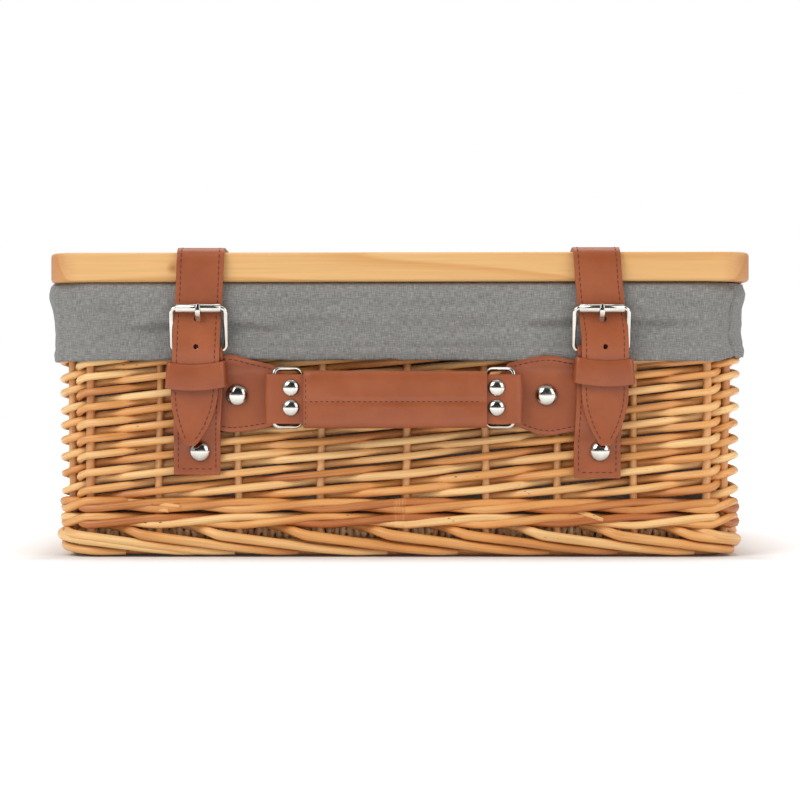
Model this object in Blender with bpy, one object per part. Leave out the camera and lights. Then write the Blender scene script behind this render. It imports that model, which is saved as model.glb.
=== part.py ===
"""A lidded willow basket for pies: woven body, cloth liner with a turned-down cuff, hinged board lid,
two buckled leather straps and a carrying handle on two wire rings.

Units are metres. +Z is up, the front faces -Y, and the origin is the middle of the foot, on the table.
"""

import math

import bmesh
import bpy
from mathutils import Matrix, Vector

# Fits
GAP = 0.0003  # left between two pieces that touch
PLAY = 0.00035  # round a bar that turns in its loop
OVERRUN = 0.002  # how far a cutter runs past what it cuts

# Lid board
LID_WIDTH = 0.383
LID_DEPTH = 0.300
LID_THICKNESS = 0.016
LID_CORNER = 0.015
LID_EDGE_ROUND = 0.0018
LID_OVERHANG = 0.006  # of the lid past the woven wall, in front and behind
LID_SIDE_OVERHANG = 0.001  # and past its sides

# Battens under the lid
BATTEN_WIDTH = 0.028
BATTEN_THICKNESS = 0.009
BATTEN_LENGTH = 0.230
BATTEN_APART = 0.224  # centre to centre
BATTEN_EDGE_ROUND = 0.0015
BATTEN_SCREWS_APART = 0.150
SCREW_RADIUS = 0.0018
SCREW_DEPTH = 0.009  # of a screw in the lid board
SCREW_HEAD_RADIUS = 0.0040
SCREW_HEAD_HEIGHT = 0.0022

# Woven body, from the table up
WALL_CORNER = 0.025  # outer corner radius of the wall
WALL_THICKNESS = 0.013
WALL_TAPER = 0.002  # how much narrower each side is at the foot than at the rim
FOOT_HEIGHT = 0.0135
FOOT_WIDTH = 0.011
FOOT_GAP = 0.0035  # the open band between the foot and the lower wale
WALE_HEIGHT = 0.026
WEAVE_HEIGHT = 0.095
BORDER_HEIGHT = 0.010
BORDER_BULGE = 0.0032  # of the top border past the wall
BASE_BOTTOM = 0.008
BASE_THICKNESS = 0.012
STAKE_COUNT = 29
STAKE_RADIUS = 0.0022
STAKE_INSET = 0.007  # of a stake's centre from the wall's outer face at the rim
STAKE_SHIFT = 0.0033  # of the first stake from the middle of the front
STAKE_SIDES = 6
STAKE_TO_RIVET = 0.0010  # left standing between a stake's bore and a rivet's hole
ROD_BULGE = 0.0028  # of a rod that crosses in front of a stake, past the hollows beside it
FIRST_ROW = 0.0029  # of the lowest row of crossings above the band's foot
ROW_HEIGHT = 0.00866  # from one row of crossings to the next
ROW_FORM_SHARES = ((-0.26, 0), (-0.11, 1), (0.11, 1), (0.26, 0))  # place in a row's height, and bulge
BASE_STICK_COUNT = 7
BASE_HOLLOW = 0.0042  # under the base, between its sticks
BASE_NOTCH = 0.0033  # where a rod passes over a stick instead of under it
BASE_ROD_PITCH = 0.0040
BASE_EDGE = 0.0060  # of the base's plain edge

# Liner
CLOTH = 0.0014
BAG_SEAM_DROP = 0.0066  # of the seam between bag and cuff below the rim
CUFF_DROP = 0.0423  # of the cuff's hem below its own top
CUFF_BULGE = 0.0051  # of the cuff's middle line past the wall, where it rounds the border
CUFF_HEM_BULGE = 0.0019
CUFF_FALL_SHARES = (0.11, 0.22, 0.42, 0.66)  # where down its drop the cuff's form changes

# Leather straps
STRAP_WIDTH = 0.0255
STRAP_THICKNESS = 0.0024
STRAPS_APART = 0.2185  # centre to centre
STRAP_OFF_LID = 0.0012  # from the lid's front and back faces
STRAP_BEND = 0.0030  # inner radius where a strap rounds the lid's edge
LID_SCREW_INSET = 0.070  # of a strap's screws from the lid's front and back faces
TAIL_TIP_Z = 0.0615
TAIL_POINT_LENGTH = 0.030
TAIL_TIP_HALF_WIDTH = 0.0025
HOLE_RADIUS = 0.0024
SECOND_HOLE_DROP = 0.0140  # of the spare hole below the used one

# Buckle
WIRE_RADIUS = 0.0013
BUCKLE_HEEL_OUT = 0.0066  # of the heel bar's centre past the wall's front
BUCKLE_HEEL_Z = 0.1135
ROLLER_OUT = 0.0129  # of the roller's centre past the wall's front
ROLLER_Z = 0.1360
BUCKLE_HALF_WIDTH = 0.01475  # to the centre of the side bars
BUCKLE_CORNER = 0.0026
ROLLER_RADIUS = 0.0026
ROLLER_LENGTH = 0.0246
PRONG_WIDTH = 0.0030
PRONG_THICKNESS = 0.0017
PRONG_EYE_WALL = 0.0012

# Buckle strap, the one that is riveted to the wall
BUCKLE_STRAP_THICKNESS = 0.0026
BUCKLE_STRAP_OUT = 0.0060  # of its middle past the wall, behind the keeper
BUCKLE_STRAP_BOTTOM = 0.0438
BUCKLE_STRAP_FOLD_WALL = 0.0014
PRONG_SLOT_WIDTH = 0.0042
PRONG_SLOT_DEPTH = 0.0045  # of the slot below the heel bar's centre
BUCKLE_RIVET_Z = 0.0583

# Keeper loop
KEEPER_LEATHER = 0.0015
KEEPER_HALF_WIDTH = 0.0162
KEEPER_HEIGHT = 0.0142
KEEPER_BOTTOM = 0.0923
KEEPER_BACK_OUT = 0.0029  # of its back face past the wall
KEEPER_DEPTH = 0.0106
KEEPER_CORNER = 0.0022
KEEPER_ASIDE = 0.0016  # how far each one has been pushed outward on its strap

# Rivets
RIVET_HEAD_RADIUS = 0.0053
RIVET_HEAD_HEIGHT = 0.0036
RIVET_SHANK_RADIUS = 0.0015
RIVET_BURR_RADIUS = 0.0040
RIVET_BURR_THICKNESS = 0.0008

# Handle, its rings and anchors
HANDLE_SHIFT = -0.0034  # of the handle's middle from the basket's
HANDLE_Z = 0.0875
HANDLE_HALF_LENGTH = 0.0701
HANDLE_TAB_HEIGHT = 0.027
HANDLE_LEATHER = 0.0016
HANDLE_FRONT_OUT = 0.0133  # of the end tab's front past the wall
HANDLE_BACK_OUT = 0.0093  # of the middle's back past the wall
HANDLE_LOOP_BACK_OUT = 0.0063
HANDLE_LOOP_LENGTH = 0.0119  # from the handle's end to where its loop closes
HANDLE_STEP = 0.0030  # over which the loop's back rises to the middle's back
HANDLE_RIVET_INSET = 0.0144  # from the handle's end
HANDLE_RIVETS_APART = 0.0108
HANDLE_RIVET_RADIUS = 0.0043
HANDLE_RIVET_HEIGHT = 0.0026
HANDLE_BURR_RADIUS = 0.0023
GRIP_INSET = 0.0203  # from the handle's end
GRIP_HEIGHT = 0.0313
GRIP_BACK_OUT = 0.0077
GRIP_DEPTH = 0.0085
RING_PIVOT_INSET = 0.0191  # from the handle's end
RING_PIVOT_OUT = 0.0042  # of the ring's inner bar past the wall
RING_WIDTH = 0.0150  # bar centre to bar centre
RING_HALF_HEIGHT = 0.0157
RING_CORNER = 0.0031
RING_REST_OUT = 0.0095  # of the ring's outer bar past the wall
ANCHOR_THICKNESS = 0.0023
ANCHOR_EYE_RADIUS = 0.0030
ANCHOR_EYE_HEIGHT = 0.0245
ANCHOR_REACH = 0.0091  # of the anchor's outer end past the middle of the buckle strap over it
ANCHOR_UNDER_HEM = 0.0005  # of the anchor's upper edge below the cuff's hem
ANCHOR_FOOT = 0.0192  # of its lower edge below the handle's middle
ANCHOR_RIVET_BESIDE = {"left": 0.0075, "right": 0.0165}  # of its middle from the buckle strap's edge
ANCHOR_RIVET_RAISE = 0.0015

# Strap hinges at the back
HINGE_STRAP_BOTTOM = 0.052
HINGE_RIVET_Z = 0.064
HINGE_UPPER_RIVET_Z = 0.088
HINGE_GAP = 0.0034  # between the hinge line and each strap's end

# Placing
SET_BACK = 0.0040  # of the woven body behind the origin, since the buckles reach out farther than the hinges

# How finely round shapes are cut
CORNER_STEPS = 4
BAR_SIDES = 8
HEAD_SIDES = 10
DOME_STEPS = 3

# Sizes that follow from those above
WALL_HALF_X = LID_WIDTH / 2 - LID_SIDE_OVERHANG
WALL_HALF_Y = LID_DEPTH / 2 - LID_OVERHANG
INNER_HALF_X = WALL_HALF_X - WALL_THICKNESS
INNER_HALF_Y = WALL_HALF_Y - WALL_THICKNESS
INNER_CORNER = WALL_CORNER - WALL_THICKNESS
WALE_BOTTOM = FOOT_HEIGHT + FOOT_GAP
WALE_TOP = WALE_BOTTOM + WALE_HEIGHT
WEAVE_TOP = WALE_TOP + GAP + WEAVE_HEIGHT
BORDER_TOP = WEAVE_TOP + GAP + BORDER_HEIGHT
CUFF_TOP = BORDER_TOP + GAP + CLOTH
LID_BOTTOM = CUFF_TOP + GAP
LID_TOP = LID_BOTTOM + LID_THICKNESS
BASE_TOP = BASE_BOTTOM + BASE_THICKNESS
BAG_TOP = BORDER_TOP - BAG_SEAM_DROP
FRONT = -WALL_HALF_Y
STRAP_Y = LID_DEPTH / 2 + STRAP_OFF_LID + STRAP_THICKNESS / 2
STRAP_TOP_Z = LID_TOP + GAP + STRAP_THICKNESS / 2
STRAP_TURN_Z = STRAP_TOP_Z - STRAP_BEND - STRAP_THICKNESS / 2
CUFF_HEM = CUFF_TOP - CUFF_DROP
HANDLE_LOOP_INNER = HANDLE_HALF_LENGTH - HANDLE_LOOP_LENGTH
RING_PIVOT_AT = HANDLE_HALF_LENGTH - RING_PIVOT_INSET
GRIP_HALF_LENGTH = HANDLE_HALF_LENGTH - GRIP_INSET
SIDES = {"left": -1, "right": 1}

WILLOW = ("willow", (0.74, 0.46, 0.20), 0.45, 0.0)
PINE = ("pine", (0.86, 0.62, 0.34), 0.5, 0.0)
CLOTH_GREY = ("cloth", (0.33, 0.34, 0.34), 0.9, 0.0)
LEATHER = ("leather", (0.42, 0.16, 0.08), 0.45, 0.0)
NICKEL = ("nickel", (0.75, 0.74, 0.70), 0.25, 1.0)


def finish(finish_of):
    """The material of that name, made once."""
    name, colour, roughness, metallic = finish_of
    found = bpy.data.materials.get(name)
    if found:
        return found
    made = bpy.data.materials.new(name)
    made.use_nodes = True
    shader = made.node_tree.nodes["Principled BSDF"]
    shader.inputs["Base Color"].default_value = (*colour, 1)
    shader.inputs["Roughness"].default_value = roughness
    shader.inputs["Metallic"].default_value = metallic
    return made


def make_object(name, shape, finish_of):
    """An object from a bmesh, with its faces turned out and its round sides smooth."""
    bmesh.ops.recalc_face_normals(shape, faces=shape.faces)
    mesh = bpy.data.meshes.new(name)
    shape.to_mesh(mesh)
    shape.free()
    mesh.materials.append(finish(finish_of))
    mesh.shade_smooth()
    mesh.set_sharp_from_angle(angle=math.radians(35))
    made = bpy.data.objects.new(name, mesh)
    bpy.context.scene.collection.objects.link(made)
    return made


def combine(target, tool, operation):
    """Cuts the tool from the target, or joins it on, and removes the tool."""
    modifier = target.modifiers.new(operation.lower(), "BOOLEAN")
    modifier.operation = operation
    modifier.solver = "EXACT"
    modifier.object = tool
    bpy.context.view_layer.update()
    graph = bpy.context.evaluated_depsgraph_get()
    mesh = bpy.data.meshes.new_from_object(target.evaluated_get(graph))
    target.modifiers.clear()
    target.data = mesh
    bpy.data.objects.remove(tool)
    return target


def cut(target, tool):
    return combine(target, tool, "DIFFERENCE")


def join(target, tool):
    return combine(target, tool, "UNION")


def rounded_outline(half_x, half_y, radius, steps=CORNER_STEPS):
    """Points of a rounded rectangle, anticlockwise from the right end of its front side."""
    points = []
    for corner, (sx, sy) in enumerate(((1, -1), (1, 1), (-1, 1), (-1, -1))):
        for step in range(steps + 1):
            turn = math.radians(90 * (corner - 1 + step / steps))
            points.append(
                (
                    sx * (half_x - radius) + radius * math.cos(turn),
                    sy * (half_y - radius) + radius * math.sin(turn),
                )
            )
    return points


def bridge(shape, first, second):
    """Quads between two closed loops of as many vertices."""
    for i in range(len(first)):
        j = (i + 1) % len(first)
        shape.faces.new((first[i], first[j], second[j], second[i]))


def stack(name, levels, finish_of):
    """A solid through closed outlines of as many points, each a list of 3-D points, capped at both ends."""
    shape = bmesh.new()
    loops = [[shape.verts.new(p) for p in level] for level in levels]
    for first, second in zip(loops, loops[1:]):
        bridge(shape, first, second)
    shape.faces.new(loops[0])
    shape.faces.new(loops[-1])
    return make_object(name, shape, finish_of)


def level(outline, z):
    return [(x, y, z) for x, y in outline]


def sweep_round(name, profile, finish_of):
    """A closed profile of (distance past the wall, z) carried all round the basket."""
    shape = bmesh.new()
    rings = []
    for out, z in profile:
        outline = rounded_outline(
            WALL_HALF_X + out, WALL_HALF_Y + out, WALL_CORNER + out
        )
        rings.append([shape.verts.new((x, y, z)) for x, y in outline])
    for i, ring in enumerate(rings):
        bridge(shape, ring, rings[(i + 1) % len(rings)])
    return make_object(name, shape, finish_of)


def thick_path(points, thickness):
    """The closed outline of a path given a thickness: along its left side and back along its right."""
    left, right = [], []
    for i, point in enumerate(points):
        before = Vector(points[max(i - 1, 0)])
        after = Vector(points[min(i + 1, len(points) - 1)])
        along = (after - before).normalized()
        aside = Vector((-along.y, along.x)) * (thickness / 2)
        left.append(tuple(Vector(point) + aside))
        right.append(tuple(Vector(point) - aside))
    return left + right[::-1]


def smooth_path(points, steps=3):
    """A Catmull-Rom curve through the points, with steps pieces between each two."""
    curve = []
    for i in range(len(points) - 1):
        a, b = Vector(points[max(i - 1, 0)]), Vector(points[i])
        c, d = Vector(points[i + 1]), Vector(points[min(i + 2, len(points) - 1)])
        for step in range(steps):
            t = step / steps
            curve.append(
                tuple(
                    0.5
                    * (
                        2 * b
                        + (c - a) * t
                        + (2 * a - 5 * b + 4 * c - d) * t * t
                        + (3 * b - a - 3 * c + d) * t**3
                    )
                )
            )
    return curve + [tuple(points[-1])]


def extrude(name, outline, direction, finish_of):
    """A flat outline of 3-D points pushed along a direction."""
    far = [tuple(Vector(p) + Vector(direction)) for p in outline]
    return stack(name, [outline, far], finish_of)


def bar(name, start, end, radius, finish_of, sides=BAR_SIDES):
    """A round bar between two points."""
    start, end = Vector(start), Vector(end)
    shape = bmesh.new()
    turn = (end - start).to_track_quat("Z", "Y").to_matrix().to_4x4()
    bmesh.ops.create_cone(
        shape,
        cap_ends=True,
        segments=sides,
        radius1=radius,
        radius2=radius,
        depth=(end - start).length,
        matrix=Matrix.Translation((start + end) / 2) @ turn,
    )
    return make_object(name, shape, finish_of)


def block(name, low, high, finish_of, edge_round=0):
    """A box between two corners, with its edges rounded if a radius is given."""
    low, high = Vector(low), Vector(high)
    size = high - low
    shape = bmesh.new()
    place = Matrix.Translation((low + high) / 2) @ Matrix.Diagonal((*size, 1))
    bmesh.ops.create_cube(shape, size=1, matrix=place)
    if edge_round:
        bmesh.ops.bevel(
            shape,
            geom=shape.edges[:],
            offset=edge_round,
            segments=2,
            profile=0.5,
            affect="EDGES",
            material=-1,
        )
    return make_object(name, shape, finish_of)


def turned(name, profile, base, direction, finish_of, sides=HEAD_SIDES):
    """A solid turned about a direction through base, from a profile of (radius, height) closed on it."""
    base, direction = Vector(base), Vector(direction)
    turn = direction.to_track_quat("Z", "Y").to_matrix().to_4x4()
    place = Matrix.Translation(base) @ turn
    shape = bmesh.new()
    rings = []
    for radius, height in profile:
        if radius == 0:
            rings.append([shape.verts.new(place @ Vector((0, 0, height)))])
            continue
        ring = []
        for side in range(sides):
            angle = math.tau * side / sides
            at = Vector((radius * math.cos(angle), radius * math.sin(angle), height))
            ring.append(shape.verts.new(place @ at))
        rings.append(ring)
    for first, second in zip(rings, rings[1:]):
        for i in range(sides):
            j = (i + 1) % sides
            if len(first) == 1:
                shape.faces.new((first[0], second[j], second[i]))
            elif len(second) == 1:
                shape.faces.new((first[i], first[j], second[0]))
            else:
                shape.faces.new((first[i], first[j], second[j], second[i]))
    return make_object(name, shape, finish_of)


def wire_loop(name, corner_radius, half_width, half_height, place, finish_of):
    """A closed wire of rounded-rectangle form, built in its own XY plane and put in place by a matrix."""
    outline = rounded_outline(half_width, half_height, corner_radius, steps=3)
    count = len(outline)
    shape = bmesh.new()
    rings = []
    for i, (x, y) in enumerate(outline):
        before, after = Vector(outline[i - 1]), Vector(outline[(i + 1) % count])
        along = (after - before).normalized()
        outward = Vector((along.y, -along.x, 0))
        ring = []
        for side in range(BAR_SIDES):
            angle = math.tau * side / BAR_SIDES
            reach = outward * math.cos(angle) + Vector((0, 0, math.sin(angle)))
            ring.append(
                shape.verts.new(place @ (Vector((x, y, 0)) + reach * WIRE_RADIUS))
            )
        rings.append(ring)
    for i, ring in enumerate(rings):
        bridge(shape, ring, rings[(i + 1) % count])
    return make_object(name, shape, finish_of)


# Strap pieces run in the YZ plane. Their paths are lists of (y, z) along the middle of the leather.


def ribbon(name, path, half_widths, thickness, centre_x, finish_of):
    """A leather strip of rectangular section along a path, with its own half width at each point."""
    edge = thick_path(path, thickness)
    count = len(path)
    shape = bmesh.new()
    rings = []
    for i, half in enumerate(half_widths):
        (ly, lz), (ry, rz) = edge[i], edge[2 * count - 1 - i]
        rings.append(
            [
                shape.verts.new(p)
                for p in (
                    (centre_x - half, ly, lz),
                    (centre_x + half, ly, lz),
                    (centre_x + half, ry, rz),
                    (centre_x - half, ry, rz),
                )
            ]
        )
    for first, second in zip(rings, rings[1:]):
        bridge(shape, first, second)
    shape.faces.new(rings[0])
    shape.faces.new(rings[-1])
    return make_object(name, shape, finish_of)


def stake_line():
    """The length of the line that the stakes stand on, and what is needed to find a place on it."""
    half_x, half_y = WALL_HALF_X - STAKE_INSET, WALL_HALF_Y - STAKE_INSET
    radius = WALL_CORNER - STAKE_INSET
    run_x, run_y, arc = half_x - radius, half_y - radius, radius * math.pi / 2
    return 4 * (run_x + run_y + arc), half_x, half_y, radius


def line_place(along):
    """(x, y, side, way out) at a distance round the stakes' line, from the middle of the front."""
    total, half_x, half_y, radius = stake_line()
    run_x, run_y, arc = half_x - radius, half_y - radius, radius * math.pi / 2
    legs = (
        ("front", run_x, None),
        (None, arc, (run_x, -run_y, -90)),
        ("right", 2 * run_y, None),
        (None, arc, (run_x, run_y, 0)),
        ("back", 2 * run_x, None),
        (None, arc, (-run_x, run_y, 90)),
        ("left", 2 * run_y, None),
        (None, arc, (-run_x, -run_y, 180)),
        ("front", run_x, None),
    )
    ring = ("front", "right", "back", "left", "front")
    starts = {
        0: (0, -half_y, 1, 0),
        2: (half_x, -run_y, 0, 1),
        4: (run_x, half_y, -1, 0),
        6: (-half_x, run_y, 0, -1),
        8: (-run_x, -half_y, 1, 0),
    }
    along %= total
    for index, (side, length, corner) in enumerate(legs):
        if along <= length:
            break
        along -= length
    if corner is None:
        x, y, dx, dy = starts[index]
        return x + dx * along, y + dy * along, side, (dy, -dx)
    turn = along / length
    angle = math.radians(corner[2] + 90 * turn)
    near = ring[index // 2] if turn < 0.5 else ring[index // 2 + 1]
    way = (math.cos(angle), math.sin(angle))
    return corner[0] + radius * way[0], corner[1] + radius * way[1], near, way


def stake_places():
    """(x, y, side) of each stake, at equal steps round the wall."""
    step = stake_line()[0] / STAKE_COUNT
    return [line_place(STAKE_SHIFT + number * step)[:3] for number in range(STAKE_COUNT)]


def beside_stakes(x, side):
    """The nearest place to x, along the front or the back, where a rivet misses every stake."""
    clear = STAKE_RADIUS + RIVET_SHANK_RADIUS + GAP * 2 + STAKE_TO_RIVET
    for stake_x, _, stake_side in stake_places():
        if stake_side == side and abs(x - stake_x) < clear:
            return stake_x + math.copysign(clear, x - stake_x)
    return x


def stake_tool(places, radius, bottom, top):
    """One helper object that holds a bar for each place."""
    shape = bmesh.new()
    for x, y, _ in places:
        bmesh.ops.create_cone(
            shape,
            cap_ends=True,
            segments=STAKE_SIDES,
            radius1=radius,
            radius2=radius,
            depth=top - bottom,
            matrix=Matrix.Translation((x, y, (bottom + top) / 2)),
        )
    return make_object("stake_tool", shape, WILLOW)


def wall_out_at(z):
    """How far the wall's outer face stands past its line at the rim."""
    return -WALL_TAPER * (BORDER_TOP - z) / BORDER_TOP


def make_wall_band(name, bottom, top):
    """A band of weaving with an upright bore for each stake."""
    band = sweep_round(
        name,
        [
            (-WALL_THICKNESS, bottom),
            (wall_out_at(bottom), bottom),
            (wall_out_at(top), top),
            (-WALL_THICKNESS, top),
        ],
        WILLOW,
    )
    tool = stake_tool(
        stake_places(), STAKE_RADIUS + GAP, bottom - OVERRUN, top + OVERRUN
    )
    return cut(band, tool)


def weave_columns():
    """(x, y, way out, bulge) on the stakes' line: at each stake, midway between two and round each corner.

    bulge is 1 at a stake, where a rod crosses in front of it, and falls to 0 midway."""
    total, half_x, half_y, radius = stake_line()
    run_x, run_y, arc = half_x - radius, half_y - radius, radius * math.pi / 2
    step = total / STAKE_COUNT
    marks = [STAKE_SHIFT + number * step / 2 for number in range(2 * STAKE_COUNT)]
    starts = (run_x, run_x + arc + 2 * run_y, 3 * run_x + 2 * arc + 2 * run_y, total - run_x - arc)
    for start in starts:
        for number in range(CORNER_STEPS + 1):
            mark = start + arc * number / CORNER_STEPS
            if min(abs(mark - other) for other in marks) > step * 0.04:
                marks.append(mark)
    columns = []
    for mark in sorted(marks):
        x, y, _, way = line_place(mark)
        from_stake = abs((mark - STAKE_SHIFT) / step - round((mark - STAKE_SHIFT) / step))
        columns.append((x, y, way, 1 - 2 * from_stake))
    return columns


def make_side_weave():
    """The side's band, whose outer face bulges in rows where rods cross in front of the stakes."""
    bottom = WALE_TOP + GAP
    rows = [(bottom, 0)]
    middle = bottom + FIRST_ROW
    while middle + ROW_HEIGHT * ROW_FORM_SHARES[-1][0] < WEAVE_TOP:
        rows += [(middle + ROW_HEIGHT * share, bulge) for share, bulge in ROW_FORM_SHARES]
        middle += ROW_HEIGHT
    rows.append((WEAVE_TOP, 0))
    columns = weave_columns()
    shape = bmesh.new()

    def ring(z, outs):
        verts = []
        for (x, y, way, _), out in zip(columns, outs):
            reach = STAKE_INSET + out
            verts.append(shape.verts.new((x + way[0] * reach, y + way[1] * reach, z)))
        return verts

    inner = [-WALL_THICKNESS] * len(columns)
    rings = [ring(bottom, inner)]
    for z, bulge in rows:
        face = wall_out_at(z)
        rings.append(ring(z, [face - ROD_BULGE * (1 - bulge * column[3]) for column in columns]))
    rings.append(ring(WEAVE_TOP, inner))
    for i, first in enumerate(rings):
        bridge(shape, first, rings[(i + 1) % len(rings)])
    band = make_object("side_weave", shape, WILLOW)
    tool = stake_tool(
        stake_places(), STAKE_RADIUS + GAP, bottom - OVERRUN, WEAVE_TOP + OVERRUN
    )
    return cut(band, tool)


def border_outline(side):
    """The top border's plan along one side of the basket, out to the middle of each corner."""
    quarter = {"front": 3, "right": 0, "back": 1, "left": 2}[side]
    steps = CORNER_STEPS
    per_corner = steps + 1
    run = (quarter + 1) * per_corner % (4 * per_corner)
    out = BORDER_BULGE
    outer = rounded_outline(WALL_HALF_X + out, WALL_HALF_Y + out, WALL_CORNER + out)
    inner = rounded_outline(INNER_HALF_X, INNER_HALF_Y, INNER_CORNER)
    start = run - per_corner + steps // 2
    picked = [(start + i) % len(outer) for i in range(per_corner + 1)]
    trim = Matrix.Diagonal((1 - GAP / WALL_HALF_X, 1 - GAP / WALL_HALF_Y)).to_2x2()
    rim = [outer[i] for i in picked] + [inner[i] for i in reversed(picked)]
    middle = Vector(
        {"front": (0, -1), "right": (1, 0), "back": (0, 1), "left": (-1, 0)}[side]
    )
    shrunk = []
    for point in rim:
        at = Vector(point)
        across = at - middle * at.dot(middle)
        across = trim @ across
        shrunk.append(tuple(across + middle * at.dot(middle)))
    return shrunk


def make_stakes(side):
    """The stakes of one side, bent over at the rim into that side's border."""
    outline = border_outline(side)
    comb = stack(
        "stakes_" + side,
        [level(outline, WEAVE_TOP + GAP), level(outline, BORDER_TOP)],
        WILLOW,
    )
    mine = [place for place in stake_places() if place[2] == side]
    tool = stake_tool(
        mine, STAKE_RADIUS, FOOT_HEIGHT + GAP, BORDER_TOP - BORDER_HEIGHT / 2
    )
    return join(comb, tool)


def make_foot():
    out = wall_out_at(0)
    profile = [
        (out - FOOT_WIDTH, 0),
        (out, 0),
        (out, FOOT_HEIGHT),
        (out - FOOT_WIDTH, FOOT_HEIGHT),
    ]
    return sweep_round("foot_border", profile, WILLOW)


def make_base():
    """The base: a board of weaving, hollowed underneath between its sticks and where rods pass over them."""
    reach = -WALL_THICKNESS - GAP
    outline = rounded_outline(WALL_HALF_X + reach, WALL_HALF_Y + reach, INNER_CORNER - GAP)
    base = stack(
        "woven_base", [level(outline, BASE_BOTTOM), level(outline, BASE_TOP)], WILLOW
    )
    half_x, half_y = WALL_HALF_X + reach - BASE_EDGE, WALL_HALF_Y + reach - BASE_EDGE
    lines = round(half_x / BASE_ROD_PITCH)
    rows = 2 * (BASE_STICK_COUNT - 1)
    shape = bmesh.new()
    grid = []
    for r in range(rows + 1):
        y = -half_y + 2 * half_y * r / rows
        line = []
        for c in range(2 * lines + 1):
            x = -half_x + half_x * c / lines
            hollow = BASE_HOLLOW
            if r % 2 == 0:
                hollow = GAP if (c + r // 2) % 2 else BASE_NOTCH
            line.append(shape.verts.new((x, y, BASE_BOTTOM + hollow)))
        grid.append(line)
    for first, second in zip(grid, grid[1:]):
        for i in range(len(first) - 1):
            shape.faces.new((first[i], first[i + 1], second[i + 1], second[i]))
    edge = grid[0] + [line[-1] for line in grid[1:]]
    edge += list(reversed(grid[-1][:-1])) + [line[0] for line in reversed(grid[1:-1])]
    low = [shape.verts.new((v.co.x, v.co.y, BASE_BOTTOM - OVERRUN)) for v in edge]
    bridge(shape, edge, low)
    shape.faces.new(low)
    return cut(base, make_object("hollows", shape, WILLOW))


def make_liner_bag():
    """The cloth bag inside: a floor and four walls, open at the top."""
    outer = rounded_outline(INNER_HALF_X - GAP, INNER_HALF_Y - GAP, INNER_CORNER - GAP)
    inset = GAP + CLOTH
    inner = rounded_outline(
        INNER_HALF_X - inset, INNER_HALF_Y - inset, INNER_CORNER - inset
    )
    floor = BASE_TOP + GAP
    return stack(
        "liner_bag",
        [
            level(outer, floor),
            level(outer, BAG_TOP),
            level(inner, BAG_TOP),
            level(inner, floor + CLOTH),
        ],
        CLOTH_GREY,
    )


def make_liner_cuff():
    """The cuff: up from the bag's seam, over the border and down outside to its hem."""
    inside = -WALL_THICKNESS - GAP - CLOTH / 2
    top = CUFF_TOP - CLOTH / 2
    heights = [top - CUFF_DROP * share for share in CUFF_FALL_SHARES]
    path = [
        (inside, BAG_TOP + GAP),
        (inside, top - CLOTH / 2),
        (inside + CLOTH / 2, top),
        (CUFF_BULGE - CLOTH * 0.6, top),
        (CUFF_BULGE, top - CLOTH * 0.6),
        (CUFF_BULGE, heights[0]),
        (CUFF_BULGE, heights[1]),
        ((CUFF_BULGE + CUFF_HEM_BULGE) / 2, heights[2]),
        (CUFF_HEM_BULGE + CLOTH / 3, heights[3]),
        (CUFF_HEM_BULGE, CUFF_HEM + CLOTH),
        (CUFF_HEM_BULGE, CUFF_HEM),
    ]
    return sweep_round("liner_cuff", thick_path(path, CLOTH), CLOTH_GREY)


def make_lid_board():
    round_in = LID_EDGE_ROUND
    slope = round_in * (1 - math.sqrt(0.5))
    steps = (
        (round_in, 0),
        (slope, slope),
        (0, round_in),
        (0, LID_THICKNESS - round_in),
        (slope, LID_THICKNESS - slope),
        (round_in, LID_THICKNESS),
    )
    levels = []
    for inset, height in steps:
        outline = rounded_outline(
            LID_WIDTH / 2 - inset, LID_DEPTH / 2 - inset, LID_CORNER - inset
        )
        levels.append(level(outline, LID_BOTTOM + height))
    return stack("lid_board", levels, PINE)


def screw_profile(length):
    """A pan-head screw's section, from the end of its shank to the top of its head."""
    return [
        (0, -length),
        (SCREW_RADIUS, -length),
        (SCREW_RADIUS, 0),
        (SCREW_HEAD_RADIUS, 0),
        (SCREW_HEAD_RADIUS, SCREW_HEAD_HEIGHT * 0.45),
        (SCREW_HEAD_RADIUS * 0.62, SCREW_HEAD_HEIGHT * 0.88),
        (0, SCREW_HEAD_HEIGHT),
    ]


def make_screw(name, seat, direction, length, pierced):
    """A screw whose head sits on seat, in a hole through every piece that it fastens."""
    start = Vector(seat) + Vector(direction) * OVERRUN
    end = Vector(seat) - Vector(direction) * length
    for piece in pierced:
        cut(piece, bar("hole", start, end, SCREW_RADIUS + GAP, NICKEL, STAKE_SIDES))
    at = Vector(seat) + Vector(direction) * GAP
    return turned(name, screw_profile(length), at, direction, NICKEL, BAR_SIDES)


def make_battens(lid_board):
    """Two battens that hold the lid board flat and keep it square in the mouth of the basket."""
    top = LID_BOTTOM - GAP
    for side, sign in SIDES.items():
        middle = sign * BATTEN_APART / 2
        batten = block(
            side + "_batten",
            (middle - BATTEN_WIDTH / 2, -BATTEN_LENGTH / 2, top - BATTEN_THICKNESS),
            (middle + BATTEN_WIDTH / 2, BATTEN_LENGTH / 2, top),
            PINE,
            BATTEN_EDGE_ROUND,
        )
        for end, way in (("front", -1), ("rear", 1)):
            seat = (middle, way * BATTEN_SCREWS_APART / 2, top - BATTEN_THICKNESS)
            name = f"{side}_batten_{end}_screw"
            length = BATTEN_THICKNESS + SCREW_DEPTH
            make_screw(name, seat, (0, 0, -1), length, (batten, lid_board))


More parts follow.
